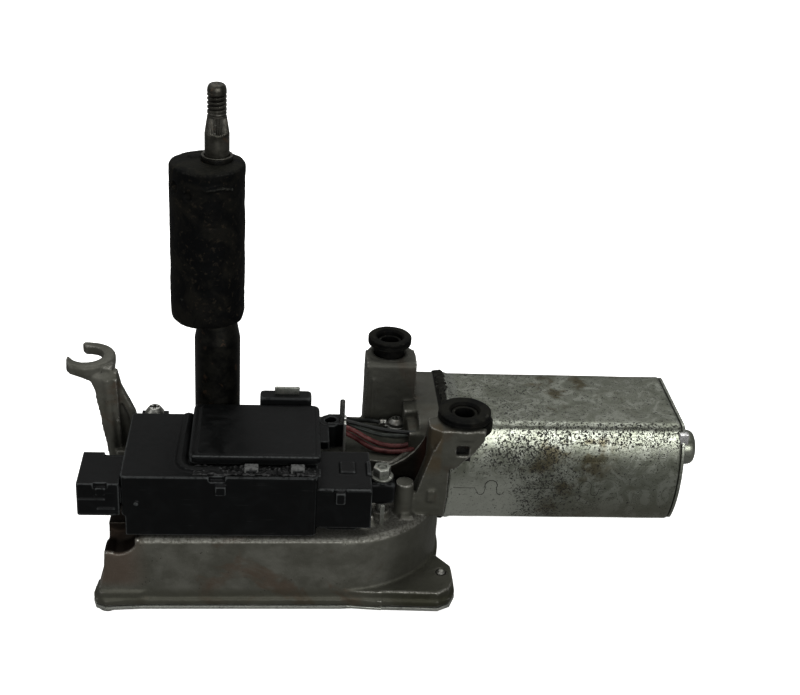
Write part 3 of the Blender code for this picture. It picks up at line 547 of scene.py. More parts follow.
def zinc_can():
    """Zinc-plated sheet, dull and swirled, with clustered black pits and brown stains, painted light low on
    its left front and painted shade low on its right.
    """
    f = Finish("zinc_plated_can")
    swirl, fine, grit = f.noise(11.0, 6.0, 0.60, 1.6), f.noise(0.9, 5.0, 0.7), f.noise(0.95, 4.0, 0.66, 0.9)
    x, z, up = f.along("X"), f.along("Z"), f.facing("Z")
    front = f.band(f.facing("Y"), 0.1, -0.25)
    ragged = f.maths("ADD", x, f.both(f.maths("SUBTRACT", f.noise(14.0, 4.0, 0.62), 0.5), 60.0))
    height = f.most(f.band(z, 33.0, 42.0), f.both(f.band(ragged, 132.0, 144.0), 0.92))
    cluster = f.both(f.zone((ragged, 112.0, 132.0), (ragged, 186.0, 150.0)), front, height,
                     f.level(f.band(z, 57.0, 48.0), 0.62, 0.90))
    shoulder = f.both(f.zone((ragged, 132.0, 160.0), (z, 46.0, 51.0), (z, 58.6, 57.0)), front, 0.80)
    topside = f.both(f.zone((up, 0.5, 0.9), (ragged, 176.0, 136.0)), 0.42)
    patchy = f.level(f.noise(5.0, 3.0, 0.6), 0.25, 1.35)
    dense = f.both(f.most(cluster, shoulder, topside), patchy, 0.135)
    pits = f.band(f.maths("ADD", grit, dense), 0.605, 0.640)
    f.colour = f.mix(f.band(swirl, 0.36, 0.64), (0.185, 0.195, 0.158), (0.285, 0.297, 0.258))
    rings = f.band(f.maths("ABSOLUTE", f.maths("SUBTRACT", swirl, 0.52)), 0.014, 0.0)
    f.coat((0.07, 0.07, 0.05), rings, 0.55)
    brown = f.zone((f.noise(13.0, 4.0, 0.6), 0.52, 0.66), (ragged, 140.0, 152.0), (ragged, 196.0, 172.0))
    f.coat((0.085, 0.070, 0.035), brown, 0.8)
    # Painted shade, tinted yellow-brown: the can darkens low down on its right.
    f.coat((0.125, 0.120, 0.088), f.zone((z, 28.0, 10.0), (x, 140.0, 168.0)), 0.55)
    # Painted light: the can's front is brighter low down on its left.
    f.coat((0.50, 0.515, 0.46), f.zone((z, 40.0, 24.0), (x, 158.0, 130.0)), front, 0.75)
    f.coat((0.26, 0.27, 0.25), f.zone((x, CAN_LOW.x + 8.5, CAN_LOW.x + 7.5), (up, 0.3, 0.6)), 0.5)
    f.coat((0.010, 0.009, 0.007), pits, 0.95)
    f.coat((0.42, 0.43, 0.40), f.ridges(0.53, 0.60), f.band(fine, 0.40, 0.62), 0.7)
    scratches = f.band(f.noise(0.6, 2.0, 0.5, 0.0, (0.035, 1.0, 1.0)), 0.58, 0.68)
    rough = f.maths("ADD", f.level(swirl, 0.22, 0.42), f.both(scratches, 0.12))
    rough = f.maths("ADD", rough, f.both(pits, 0.35))
    f.bump(f.maths("SUBTRACT", 1.0, pits), 0.07)
    f.bump(f.noise(5.0, 3.0, 0.6), 0.10)
    f.bump(fine, 0.02)
    return f.done(rough, f.level(pits, 0.93, 0.3))


def steel(name, dark, light, rough, metallic=0.9, rust=0.3):
    """Plated or bare steel, with fine scratches, dirt in its hollows and some rust."""
    f = Finish(name)
    blotch, fine = f.noise(5.0, 5.0, 0.62), f.noise(0.4, 4.0, 0.65)
    f.colour = f.mix(f.band(blotch, 0.35, 0.65), dark, light)
    browned = f.both(f.band(f.noise(4.0, 4.0, 0.6, 0.5), 0.58, 0.70), rust)
    f.coat((0.10, 0.05, 0.022), browned)
    rubbed = tuple(min(0.7, 1.9 * c + 0.12) for c in light)
    f.coat(rubbed, f.ridges(0.52, 0.58), f.band(fine, 0.36, 0.55))
    f.coat(times(0.25, dark), f.ridges(0.47, 0.41), 0.7)
    f.bump(fine, 0.02)
    f.bump(blotch, 0.05)
    return f.done(f.level(blotch, rough - 0.08, rough + 0.12), f.level(browned, metallic, 0.2))


def moulded_plastic(name="black_plastic", base=(0.0026, 0.0029, 0.0030), lit=(0.036, 0.038, 0.038)):
    """Black moulded plastic with a fine spark texture, pale rubbed edges and dust on its tops."""
    f = Finish(name, Specular_IOR_Level=0.13)
    spark, smear = f.noise(0.35, 3.0, 0.6), f.noise(11.0, 5.0, 0.62, 0.8)
    dust = f.zone((f.facing("Z"), 0.55, 0.95), (smear, 0.40, 0.66))
    grazed = f.noise(0.7, 3.0, 0.6, 0.0, (0.06, 1.0, 1.0))
    f.colour = f.mix(f.band(smear, 0.4, 0.7), base, times(1.7, base))
    f.coat((0.011, 0.0115, 0.011), dust, 0.4)
    f.coat(lit, f.band(grazed, 0.66, 0.74), 0.25)
    f.coat(times(1.5, lit), f.ridges(0.508, 0.540), f.band(f.noise(2.0, 4.0, 0.6), 0.28, 0.52), 0.9)
    f.bump(spark, 0.025)
    f.bump(f.noise(14.0, 2.0, 0.5), 0.12)
    return f.done(f.maths("ADD", f.level(smear, 0.30, 0.48), f.both(dust, 0.15)))


def aged_rubber(name="rubber", dirt=0.55):
    """Dull black rubber with grey bloom, scuffs and brown dirt."""
    f = Finish(name, Specular_IOR_Level=0.09)
    bloom, scuff = f.noise(12.0, 6.0, 0.64, 0.7), f.noise(2.2, 5.0, 0.66, 0.4)
    f.colour = f.mix(f.band(bloom, 0.40, 0.68), (0.0009, 0.0012, 0.0013), (0.0085, 0.0080, 0.0060))
    f.coat((0.034, 0.027, 0.018), f.band(scuff, 0.56, 0.68), dirt)
    f.coat((0.055, 0.055, 0.048), f.ridges(0.515, 0.57), f.band(scuff, 0.36, 0.56), 0.8)
    f.coat((0.016, 0.016, 0.012), f.zone((f.facing("Z"), 0.7, 0.95), (bloom, 0.30, 0.6)), 0.6)
    f.bump(scuff, 0.08)
    f.bump(f.noise(0.5, 3.0, 0.6), 0.03)
    return f.done(f.level(bloom, 0.52, 0.82))


def insulation(name, base, faded):
    """Faded and grimy wire insulation."""
    f = Finish(name, Specular_IOR_Level=0.4)
    grime = f.noise(4.0, 5.0, 0.62)
    f.colour = f.mix(f.band(grime, 0.35, 0.62), base, faded)
    f.coat((0.02, 0.017, 0.013), f.band(f.noise(1.6, 4.0, 0.6), 0.58, 0.7), 0.5)
    f.bump(f.noise(0.8, 2.0, 0.5), 0.03)
    return f.done(f.level(grime, 0.38, 0.6))


def plain_matter(name, base, lit, rough, metallic=0.0, grain=0.5):
    """A simple two-tone finish for the inner pieces."""
    f = Finish(name, Metallic=metallic)
    tone = f.noise(3.0, 4.0, 0.6)
    f.bump(f.noise(grain, 3.0, 0.6), 0.03)
    f.colour = f.mix(f.band(tone, 0.35, 0.65), base, lit)
    return f.done(f.level(tone, rough - 0.08, rough + 0.1))


FINISHES = {
    "casting": cast_aluminium(),
    "can": zinc_can(),
    "zinc": steel("zinc_steel", (0.11, 0.115, 0.10), (0.19, 0.195, 0.175), 0.42),
    "bright": steel("bright_steel", (0.20, 0.20, 0.18), (0.36, 0.36, 0.335), 0.34, rust=0.25),
    "dark": steel("dark_steel", (0.004, 0.0042, 0.0038), (0.018, 0.0175, 0.014), 0.5, 0.85, 0.3),
    "spindle": steel("spindle_steel", (0.035, 0.034, 0.028), (0.085, 0.082, 0.070), 0.38, 0.9, 0.4),
    "plastic": moulded_plastic(),
    "gloss": moulded_plastic("sealing_compound", (0.004, 0.0042, 0.0042), (0.03, 0.03, 0.03)),
    "clip": moulded_plastic("pale_plastic", (0.022, 0.023, 0.023), (0.075, 0.076, 0.074)),
    "rubber": aged_rubber(),
    "grommet": aged_rubber("grommet_rubber", 0.2),
    "sealant": aged_rubber("sealant", 0.15),
    "red": insulation("red_insulation", (0.060, 0.008, 0.008), (0.135, 0.042, 0.038)),
    "black": insulation("black_insulation", (0.004, 0.005, 0.0045), (0.013, 0.015, 0.013)),
    "grey": insulation("grey_insulation", (0.016, 0.021, 0.017), (0.045, 0.052, 0.044)),
    "acetal": plain_matter("acetal", (0.50, 0.46, 0.36), (0.62, 0.58, 0.48), 0.45),
    "ferrite": plain_matter("ferrite", (0.03, 0.03, 0.033), (0.055, 0.055, 0.06), 0.6),
    "copper": plain_matter("copper", (0.42, 0.17, 0.08), (0.62, 0.29, 0.15), 0.32, 1.0, 0.3),
    "board": plain_matter("board", (0.018, 0.09, 0.045), (0.03, 0.14, 0.07), 0.42),
    "bronze": plain_matter("bronze", (0.25, 0.15, 0.06), (0.40, 0.26, 0.12), 0.45, 0.9, 0.25),
}
INNER_FINISHES = {
    "board": ["circuit_board"],
    "plastic": ["relay", "brush_plate", "pin_header"],
    "ferrite": ["magnet_front", "magnet_back", "brush_1", "brush_2"],
    "copper": ["winding_front", "winding_rear", "commutator"],
    "bronze": ["worm_end_bush", "front_bush", "rear_bush", "lower_bush", "upper_bush"],
    "acetal": ["worm_wheel"],
    "rubber": ["can_seal"],
    "zinc": ["connecting_rod"],
    "dark": ["armature_core", "sector_gear"],
    "bright": ["armature_shaft", "crank_pin", "wheel_pin", "sector_pin", "sector_stud", "pinion",
               "brush_spring_1", "brush_spring_2"],
}


def dress(piece, finish, smooth_angle=40.0):
    piece.data.materials.clear()
    piece.data.materials.append(FINISHES[finish])
    if piece.type == "MESH":
        piece.data.shade_smooth()
        if smooth_angle:
            piece.data.set_sharp_from_angle(angle=math.radians(smooth_angle))
    return piece


def place(piece, finish, slot, *stands_for, body="housing", smooth_angle=40.0):
    """Dresses a finished piece and ties it to its body and the CAD nodes it replaces."""
    dress(piece, finish, smooth_angle)
    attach(piece, body)
    if stands_for:
        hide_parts(*stands_for)
    return piece


def dress_inner_nodes():
    for finish, names in INNER_FINISHES.items():
        for name in names:
            NODES[name].data.materials.clear()
            NODES[name].data.materials.append(FINISHES[finish])


# --- Gearbox -------------------------------------------------------------------------------


def plateau_lip():
    """The thin raised wall along the curved front edge of the plateau."""
    path = [(73.0, -17.5), (78.6, -14.7), (85.1, -6.9), (90.3, 1.0), (93.8, 9.0)]
    outline = [(x + 0.9, y - 0.9) for x, y in path] + [(x - 0.9, y + 0.7) for x, y in reversed(path)]
    return prism("lip", outline, DECK - 1.0, PLATEAU + 1.6)


def small_castings():
    """Stubs beside the hex screw's boss, a peg and the ears' blends, the left scoop, and ledges."""
    cone = [(0, DECK - 1), (2.0, DECK - 1), (0.9, DECK + 4.4), (0, DECK + 4.8)]
    peg = [(0, 9.5), (1.9, 9.5), (1.6, 13.4), (0.8, 14.2), (0, 14.2)]
    ear = [(-47.7, -63.4), (-46.0, -66.4), (-30.0, -66.2), (-25.0, -65.2), (-25.0, -60.0), (-47.7, -58.0)]
    slope = [(-47.2, 10.0), (-44.4, 22.0), (-43.7, 31.0), (-40.0, 31.0), (-34.0, 10.0)]
    bowl = [(0, FRONT - 3), (8.8, FRONT - 3), (8.8, -56.0), (5.0, -52.5), (0, -51.5)]
    filler = box("filler", (-42.8, -30.0), (FRONT + 0.1, -52.0), (28.0, DECK))
    root = [(56.0, FRONT + 0.2), (72.5, -66.2), (72.5, -60.0), (56.0, -60.0)]
    return [
        lathe("stub", cone, (67.4, -52.5), steps=24),
        lathe("peg", peg, (-43.5, -61.8), steps=24),
        prism("left_ear", ear, 5.0, 11.4),
        prism("ear_slope", slope, FRONT + 0.2, -56.0, "Y"),
        cut(filler, lathe("bowl", bowl, (-38.3, 39.0), "Y")),
        prism("ear_root", root, 5.0, 11.8),
        prism("ear_foot", EAR_FOOT, 4.4, 7.8),
        *blocks(
            ((62.8, 65.6), (-56.6, -54.8), (DECK - 1, DECK + 1.6), 0.4),
            ((80.0, 86.0), (-49.0, -40.0), (DECK - 1, DECK + 1.6), 0.8),
            ((86.5, 96.0), (-4.0, 12.0), (DECK, 53.5), 0.8),
            ((85.0, 91.0), (10.0, 19.5), (DECK, 57.5), 0.8),
        ),
    ]


def rear_lug():
    """The bent channel under the rear grommet, with a ring pressed round the hole."""
    left, right, front, top, foot = 67.6, 90.9, REAR_LUG_Y, REAR_LUG_TOP, 36.5
    hood = [(left, front), (right, front)] + arc(((left + right) / 2, 31.0), (right - left) / 2, 0, 180, 24)
    hole = lathe("hole", [(0, 60), (7.2, 60), (7.2, ABOVE), (0, ABOVE)], REAR_GROMMET)
    ring = [(8.3, top - 1.0), (9.5, top - 1.0), (9.5, top + 0.5), (8.3, top + 0.5)]
    side = [(left, top - 1.5), (left + 2.6, top - 1.5), (left + 2.6, foot), (left - 0.2, foot)]
    return [
        cut(prism("hood", hood, top - 3.2, top), hole),
        lathe("ring", ring, REAR_GROMMET),
        prism("side", side, 25.0, 38.0, "Y"),
        *blocks(
            ((left, right), (front, front + 2.8), (foot, top)),
            ((right - 2.6, right), (22.0, 38.0), (foot, top - 1.0)),
            ((left + 2.9, left + 3.9), (front - 0.5, front + 1.0), (45.0, top - 8.0)),
        ),
    ]


def fork_arm():
    """The open fork, its deep front wall, and the arm under it with a raised front ridge."""
    x, y = FORK
    fork = arc(FORK, FORK_RADIUS, -112, 100, 30) + [(x - 3.2, y + 10.2)] + arc(FORK, 7.4, 100, -138, 30)
    fork += [(x - 7.4, y - 2.4), (-66.5, y - 1.6), (-66.8, y - 4.4), (-66.2, y - 8.6), (-64.4, y - 11.0)]
    wall = [(-64.5, 79.8), (-55.4, 76.2), (-51.5, 66.0), (-43.8, 66.0), (-45.4, 79.8)]
    lower = [(-48.4, -3.6), (-42.0, -4.2), (-40.0, 1.0), (-46.0, 1.0)]
    upper = [(-55.0, -1.8), (-43.8, -2.6), (-43.8, 4.0), (-54.0, 4.0)]
    ridge = ellipse((-45.6, -4.2), (1.8, 1.6)), ellipse((-48.4, -0.9), (2.4, 2.0))
    brace = [(-36.0, 38.0), (-31.5, 38.0), (-36.4, 60.4), (-42.4, 73.5), (-44.0, 81.0), (-47.0, 81.0)]
    brace += [(-44.8, 71.0), (-39.4, 59.0)]
    back = [(-46.0, 38.0), (-33.5, 38.0), (-38.0, 60.0), (-43.4, 73.5), (-47.0, 78.0)]
    return [
        prism("fork", fork, 79.3, FORK_TOP),
        prism("wall", wall, y - 11.8, y - 4.6, "Y"),
        loft("arm", lower, upper, (38.0, 78.4)),
        loft("ridge", *ridge, (38.0, 77.5)),
        prism("brace", brace, -1.0, 3.0, "Y"),
        prism("back", back, 1.0, 2.6, "Y"),
        box("root", (-50.6, -45.8), (-0.5, 12.0), (71.0, 83.0), 0.0, 1.5),
    ]


def front_arm():
    """The arm's slanted left side, and the thin wall that climbs to it from the hex screw."""
    foot = [(90.0, -45.0), (84.2, -44.8), (82.6, -38.5), (86.0, -33.0), (92.0, -33.0)]
    head = [(96.2, -45.0), (91.6, -41.6), (90.8, -38.5), (90.8, -33.0), (96.2, -33.0)]
    climb = [(74.0, 36.5), (74.0, 56.6), (77.0, 57.8), (81.9, 60.8), (86.0, 65.0), (89.3, 70.8)]
    climb += [(90.8, 77.3), (92.0, 79.0), (95.0, 79.0), (95.0, 36.5)]
    return [
        loft("side", foot, head, (38.0, 61.0)),
        loft("side", head, head, (60.5, 79.3)),
        prism("climb", climb, -37.2, -35.4, "Y"),
        box("pad", (91.5, 95.0), (-46.0, -44.0), (44.5, 50.5), 0.6),
    ]


def cleared_housing():
    """The CAD casting without the parts that are rebuilt here: the rear lug's head and left flange,
    the post's top, the front arm's side, the fork, and the plateau's rear edge."""
    rear_edge = [(26.6, PLATEAU), (38.0, 37.3), (38.0, 46.0), (26.6, 46.0)]
    body = copy_of("gear_housing")
    cut(body, *blocks(
        ((62.0, 98.5), (15.0, 48.0), (58.6, ABOVE)),
        ((77.0, 86.0), (-48.5, -39.0), (53.4, 58.0)),
        ((100.2, 105.0), (-47.0, -35.0), (28.0, 61.0)),
        ((-72.0, -32.8), (-8.0, 30.0), (PLATEAU, ABOVE)),
    ))
    cut(body, prism("rear_edge", rear_edge, 19.0, 67.4, "X"))
    return cut(body, box("flange", (62.0, 67.4), (15.0, 38.0), (PLATEAU, 58.8)))


def wear_edges(points):
    """Rounds the deck's front edge, the rear lug's front edge and the fork's rim."""
    x, y, z = points.T
    away = np.hypot(x - ROUND_CENTRE[0], y - ROUND_CENTRE[1])
    inset = np.where(x < ROUND_CENTRE[0], y - FRONT, ROUND_RADIUS - away)
    front = (y < -10) & (x > -29) & (z < DECK + 0.4) & (inset > -0.6)
    right = front & (x >= ROUND_CENTRE[0])
    down, inward = round_off(DECK - z, inset, 3.0)
    z -= np.where(front, down, 0.0)
    y += np.where(front & ~right, inward, 0.0)
    pull_in(points, right, inward, ROUND_CENTRE, away)
    hood = (x > 67) & (x < 91.5) & (y < REAR_LUG_Y + 3) & (y > REAR_LUG_Y - 1) & (z > 68)
    down, inward = round_off(REAR_LUG_TOP - z, y - REAR_LUG_Y, 2.4)
    z -= np.where(hood, down, 0.0)
    y += np.where(hood, inward, 0.0)
    reach = np.hypot(x - FORK[0], y - FORK[1])
    rim = (z > FORK_TOP - 3.5) & (reach > 9.0) & (reach < FORK_RADIUS + 0.6)
    down, inward = round_off(FORK_TOP - z, FORK_RADIUS - reach, 1.8)
    z -= np.where(rim, down, 0.0)
    pull_in(points, rim, inward, FORK, reach)
    return points


def casting():
    """The gear housing as one skin, with worn round edges where the part has sharp ones."""
    parts = [cleared_housing(), plateau_lip(), *small_castings(), *rear_lug(), *fork_arm(), *front_arm()]
    piece = melted("gear_casting", parts, 0.55, 5)
    set_places(piece, wear_edges(places(piece)))
    roughen(piece, (9.0, 0.22), (2.2, 0.08))
    points = places(piece)
    points[:, 1] = np.minimum(points[:, 1], limits("gear_housing")[1].y)
    set_places(piece, points)
    return place(piece, "casting", "casting", "gear_housing", smooth_angle=None)


def window_shade_plate():
    """Painted shade: a dark plate behind the square window of the front arm, where the view through the
    window is in shade.
    """
    plate = box("window_shade_plate", (101.2, 109.6), (-41.0, -40.2), (62.5, 73.4), 0.3, 0.5)
    place(plate, "dark", "dark_steel")


def deck_pin():
    """The bright pin that stands on the deck below the hex screw."""
    pin = box("deck_pin", (71.0, 72.9), (-53.2, -52.2), (DECK - 0.5, 47.4), 0.3, 0.3)
    place(pin, "zinc", "bright_steel")


def cover():
    """The plate under the gearbox, and its four screws with crossed slots."""
    plate = bevel(copy_of("cover_plate", "plate"), 0.45, 2)
    piece = joined("bottom_cover", [plate, prism("foot", EAR_FOOT, 2.8, 4.2, edge=0.4)])
    place(piece, "zinc", "zinc_steel", "cover_plate")
    for number in range(1, 5):
        node = f"cover_screw_{number}"
        centre, tip = middle_of(node), limits(node)[1].z
        profile = [(0, 0.0, 0), (3.2, 0.0, 0.8), (4.2, 0.9, 0.5), (4.2, 2.4, 0.2), (1.9, 2.4, 0)]
        profile += [(1.9, tip - 0.8, 0.2), (1.0, tip, 0.1), (0, tip, 0)]
        screw = turned(f"base_screw_{number}", profile, centre=centre, steps=40)
        for turn in range(2):
            angle = math.radians(90 * turn + 20 * number)
            along = Vector((math.cos(angle), math.sin(angle)))
            across = Vector((-math.sin(angle), math.cos(angle)))
            ends = ((-1, -1), (1, -1), (1, 1), (-1, 1))
            outline = [Vector(centre) + along * a * 2.3 + across * b * 0.42 for a, b in ends]
            cut(screw, prism("slot", [(p.x, p.y) for p in outline], -1.0, 1.4))
        place(screw, "bright", "bright_steel", node)


# --- Motor ---------------------------------------------------------------------------------


def side_arc(grow=0.0):
    """The radius of the can's rounded side, and how far its centre lies from the can's middle."""
    bulge = CAN_HALF_WIDTH - CAN_FLAT_HALF
    radius = (CAN_HALF_HEIGHT**2 + bulge**2) / (2 * bulge) + grow
    return radius, CAN_HALF_WIDTH + grow - radius


def can_section(grow=0.0, fine=1):
    """The double-flat section in Y and Z."""
    side, middle = side_arc(grow)
    top = CAN_HALF_HEIGHT + grow
    ease = 5.0
    lift = math.degrees(math.asin((top - ease) / (side - ease)))
    centre = (middle + (side - ease) * math.cos(math.radians(lift)), top - ease)
    front = arc((middle, 0), side, 0, lift, 12 * fine)[:-1] + arc(centre, ease, lift, 90, 6 * fine)
    flat = [(front[-1][0] * (1 - 2 * i / (14 * fine)), top) for i in range(1, 14 * fine)]
    half = front + flat + [(-y, z) for y, z in reversed(front)]
    outline = half + [(-y, -z) for y, z in half[1:-1]]
    return [(MOTOR_Y + y, MOTOR_Z + z) for y, z in outline]


def can():
    """The can as a drawn sheet: an open sleeve with a rolled edge at each end and soft dents."""
    low, high = CAN_LOW.x + 1.5, CAN_HIGH.x
    stations = [(low, -0.6), (low + 0.3, 0.0), (low + 0.9, 0.35), (low + 2.0, 0.35), (low + 2.8, 0.1)]
    stations += [(low + 3.4 + (high - low - 4.4) * i / 90, 0.0) for i in range(91)]
    stations += [(high - 0.25, -0.12), (high, -0.5)]
    sections = [[(x, y, z) for y, z in can_section(grow)] for x, grow in stations]
    sections += [[(x, y, z) for y, z in can_section(-CAN_WALL)] for x in (high, low)]
    piece = skin("motor_shell", sections, closed=True)
    points = places(piece)
    out = normals(piece)
    outside = np.einsum("ij,ij->i", out[:, 1:], points[:, 1:] - np.array([MOTOR_Y, MOTOR_Z])) > 0
    middle = np.clip((points[:, 0] - low) / 6, 0, 1) * np.clip((high - points[:, 0]) / 4, 0, 1)
    dents = 0.20 * waves(points, 26.0, 3) + 0.06 * waves(points, 7.0, 4)
    points -= out * (np.where(outside, middle, 0) * (0.12 + dents))[:, None]
    set_places(piece, points)
    return place(piece, "can", "zinc_steel", "motor_can", smooth_angle=50.0)


def on_can(x, z, lift=0.0):
    """A point on the can's front side, raised by lift."""
    side, middle = side_arc(lift)
    return (x, MOTOR_Y - middle - math.sqrt(side**2 - (z - MOTOR_Z) ** 2), z)


def line(name, route, radius, finish, slot, closed=False, sides=3):
    """A thin round strand along a list of points, as a finished piece."""
    return place(strand(name, route, radius, sides, closed), finish, slot)


def can_seam():
    """The joint of the rolled sheet: a straight line with two interlocking round locks, and a
    stamped ring near the end."""
    base, knob = 27.0, 2.9
    route = [(CAN_LOW.x + 1.0, base)]
    for start in (118.5, 163.0):
        neck = start + 5.0
        route += [(start, base), (start + 1.5, base - 2.6)]
        route += arc((start + 3.0, base - 2.4), 1.6, 190, 340, 5)
        route += arc((neck + 2.6, base + 1.4), knob, 205, -25, 12)
        route += arc((neck + 7.2, base - 2.4), 1.6, 200, 350, 5)
        route += [(neck + 9.2, base)]
    route.append((CAN_HIGH.x - 1.0, base))
    seam = [on_can(x, z, -0.16 if x < 131.0 else -0.27) for x, z in route]
    line("can_seam", seam, 0.17, "sealant", "zinc_steel")
    # The stamped ring is drawn in darker zinc, as painted shade of its groove.
    ring = [on_can(205.7 + u, 46.0 + v, -0.25) for u, v in arc((0, 0), 2.1, 0, 345, 23)]
    line("can_stamp", ring, 0.26, "zinc", "zinc_steel", closed=True)


def end_cap():
    """The end plate, set a little inside the can, with the round cup of the rear bearing."""
    edge, tip, inner = CAN_HIGH.x + 0.5, limits("end_plate")[1].x, -CAN_WALL - 0.2
    steps = ((-3.2, inner), (0.0, inner), (0.0, -0.75), (0.2, -0.45), (1.3, -0.45), (1.6, -0.8), (1.6, -4.5),
             (1.1, -5.4), (0.8, -6.5))
    rings = [[(edge + x, y, z) for y, z in can_section(grow)] for x, grow in steps]
    rings.append([(edge + 0.8, MOTOR_Y + (y - MOTOR_Y) * 0.4, MOTOR_Z + (z - MOTOR_Z) * 0.4)
                  for y, z in can_section()])
    cup = [(0, edge, 0), (12.5, edge, 0), (12.5, edge + 1.6, 0.3), (10.0, edge + 1.9, 1.0)]
    cup += [(8.6, edge + 3.6, 1.4), (8.4, tip - 1.0, 4.0), (4.5, tip, 1.6), (3.2, tip - 0.5, 0.4)]
    cup.append((0, tip - 0.5, 0))
    dome = turned("dome", cup, centre=(MOTOR_Y, MOTOR_Z), axis="X", steps=64)
    place(joined("motor_end", [skin("plate", rings), dome]), "can", "zinc_steel", "end_plate")


def can_tabs():
    """Tabs of the can that are folded in over the end plate."""
    edge, rise = CAN_HIGH.x, CAN_HALF_HEIGHT - 5.6
    inward = MOTOR_Y - on_can(0.0, MOTOR_Z + rise)[1] - 1.4
    for number, side in enumerate((-1, 1), 1):
        y, z = MOTOR_Y + side * inward, MOTOR_Z + rise
        sides = (edge - 1.2, edge + 3.4), (y - 1.6, y + 1.6), (z - 2.8, z + 2.8)
        place(box(f"can_tab_{number}", *sides, 0.5), "bright", "zinc_steel")


def sealant_bead():
    """The lumpy bead of sealant squeezed out between the flange and the can, worst on top."""
    sides, furthest = 10, 56.3
    rings = []
    for y, z in can_section(0.2, 4):
        out = Vector((y - MOTOR_Y, z - MOTOR_Z)).normalized()
        lump = 1.0 + 0.8 * noise.noise(Vector((y, z, 0)) / 3.1) + 0.5 * noise.noise(Vector((y, z, 9)) / 1.3)
        heavy = min(1.0, max(0.0, (z - MOTOR_Z - 14) / 8)) * min(1.0, max(0.12, (y - 22) / 16))
        radius = min(max(0.9, lump * (0.95 + 1.6 * heavy)), 2.5)
        middle = CAN_LOW.x + 0.45 + 0.9 * heavy * noise.noise(Vector((y, z, 4)) / 2.0)
        ring = []
        for k in range(sides):
            turn = 2 * math.pi * k / sides
            spot = Vector((y, z, 3.0 * math.cos(turn))) / 0.7 + Vector((0, 0, math.sin(turn)))
            reach = radius * (1.0 + 0.55 * noise.noise(spot))
            rise = reach * math.sin(turn) * 0.55
            ring.append((middle + reach * math.cos(turn), min(y + out.x * rise, furthest), z + out.y * rise))
        rings.append(ring)
    place(skin("sealant_bead", rings, closed=True), "sealant", "rubber", smooth_angle=None)


# --- Spindle -------------------------------------------------------------------------------


def spindle_radius(radius, height, angle):
    """The spindle's radius with the cone's knurls and the thread."""
    turn = angle / (2 * math.pi)
    low, high = CONE
    if low < height < high:
        ramp = min(1.0, (height - low) / 0.8, (high - height) / 0.8)
        return radius - KNURL_DEPTH * ramp * abs((KNURLS * turn) % 1 - 0.5) * 2
    first, last = high + 1.0, SPINDLE_HIGH.z - 3.4
    if first < height < last:
        ramp = min(1.0, height - first, (last - height) / 0.8)
        wave = abs((height / THREAD_PITCH - turn) % 1 - 0.5) * 2
        return radius - THREAD_DEPTH * ramp * max(0.0, 1.7 * wave - 0.7)
    return radius


def spindle():
    """The output shaft: plain shank, knurled cone, M8 thread and a domed tip with its centre hole."""
    foot, top, shank, crest = SPINDLE_LOW.z, SPINDLE_HIGH.z, 5.1, 3.95
    low, high = CONE
    steps, rows = 60, 90
    profile = [(0, foot), (4.6, foot), (shank, foot + 0.5)]
    profile += [(shank, 30.0 + 8.0 * i) for i in range(20)] + [(shank, low - 0.5)]
    for i in range(steps + 1):
        profile.append((shank + (crest - shank) * i / steps, low + (high - low) * i / steps))
    profile += [(crest - 0.35, high + 0.3), (crest - 0.35, high + 0.9)]
    profile += [(crest, high + 1.0 + (top - 3.6 - high) * i / rows) for i in range(rows + 1)]
    profile += [(3.8, top - 1.7), (3.55, top - 1.0), (3.1, top - 0.4), (2.5, top - 0.08), (2.1, top)]
    profile += [(1.1, top), (0.8, top - 0.3), (0, top - 0.8)]
    piece = lathe("output_spindle", profile, steps=160, shape=spindle_radius)
    place(piece, "spindle", "dark_steel", "spindle", body="output", smooth_angle=30.0)
    low, high = [corner.z for corner in limits("spindle_circlip")]
    ring = [(5.4, low, 0.1), (6.5, low, 0.3), (6.5, high - 0.3, 0.3), (5.4, high - 0.3, 0.2)]
    place(turned("spindle_ring", ring), "spindle", "bright_steel", "spindle_circlip", body="output")
    under, over = TUBE_HIGH.z + 0.1, low - 0.15
    washer = [(5.35, under, 0.1), (6.2, under, 0.1), (6.2, over, 0.2), (5.35, over, 0.1)]
    place(turned("spindle_washer", washer), "dark", "bright_steel")


def tube():
    """The steel tube, with a soft shoulder and a shrunk band at its neck."""
    wide, slim, bore = 9.9, 8.45, 6.9
    corners = [(bore, TUBE_LOW.z, 0.3), (wide, TUBE_LOW.z, 0.3), (wide, 99.0, 3.0), (slim + 0.3, 105.5, 2.0)]
    corners += [(slim, 107.5, 0.6), (slim, TUBE_HIGH.z, 0.5), (bore, TUBE_HIGH.z, 0.5)]
    piece = lathe("spindle_housing_tube", rounded(corners, 6), steps=96)
    place(piece, "dark", "dark_steel", "spindle_tube")


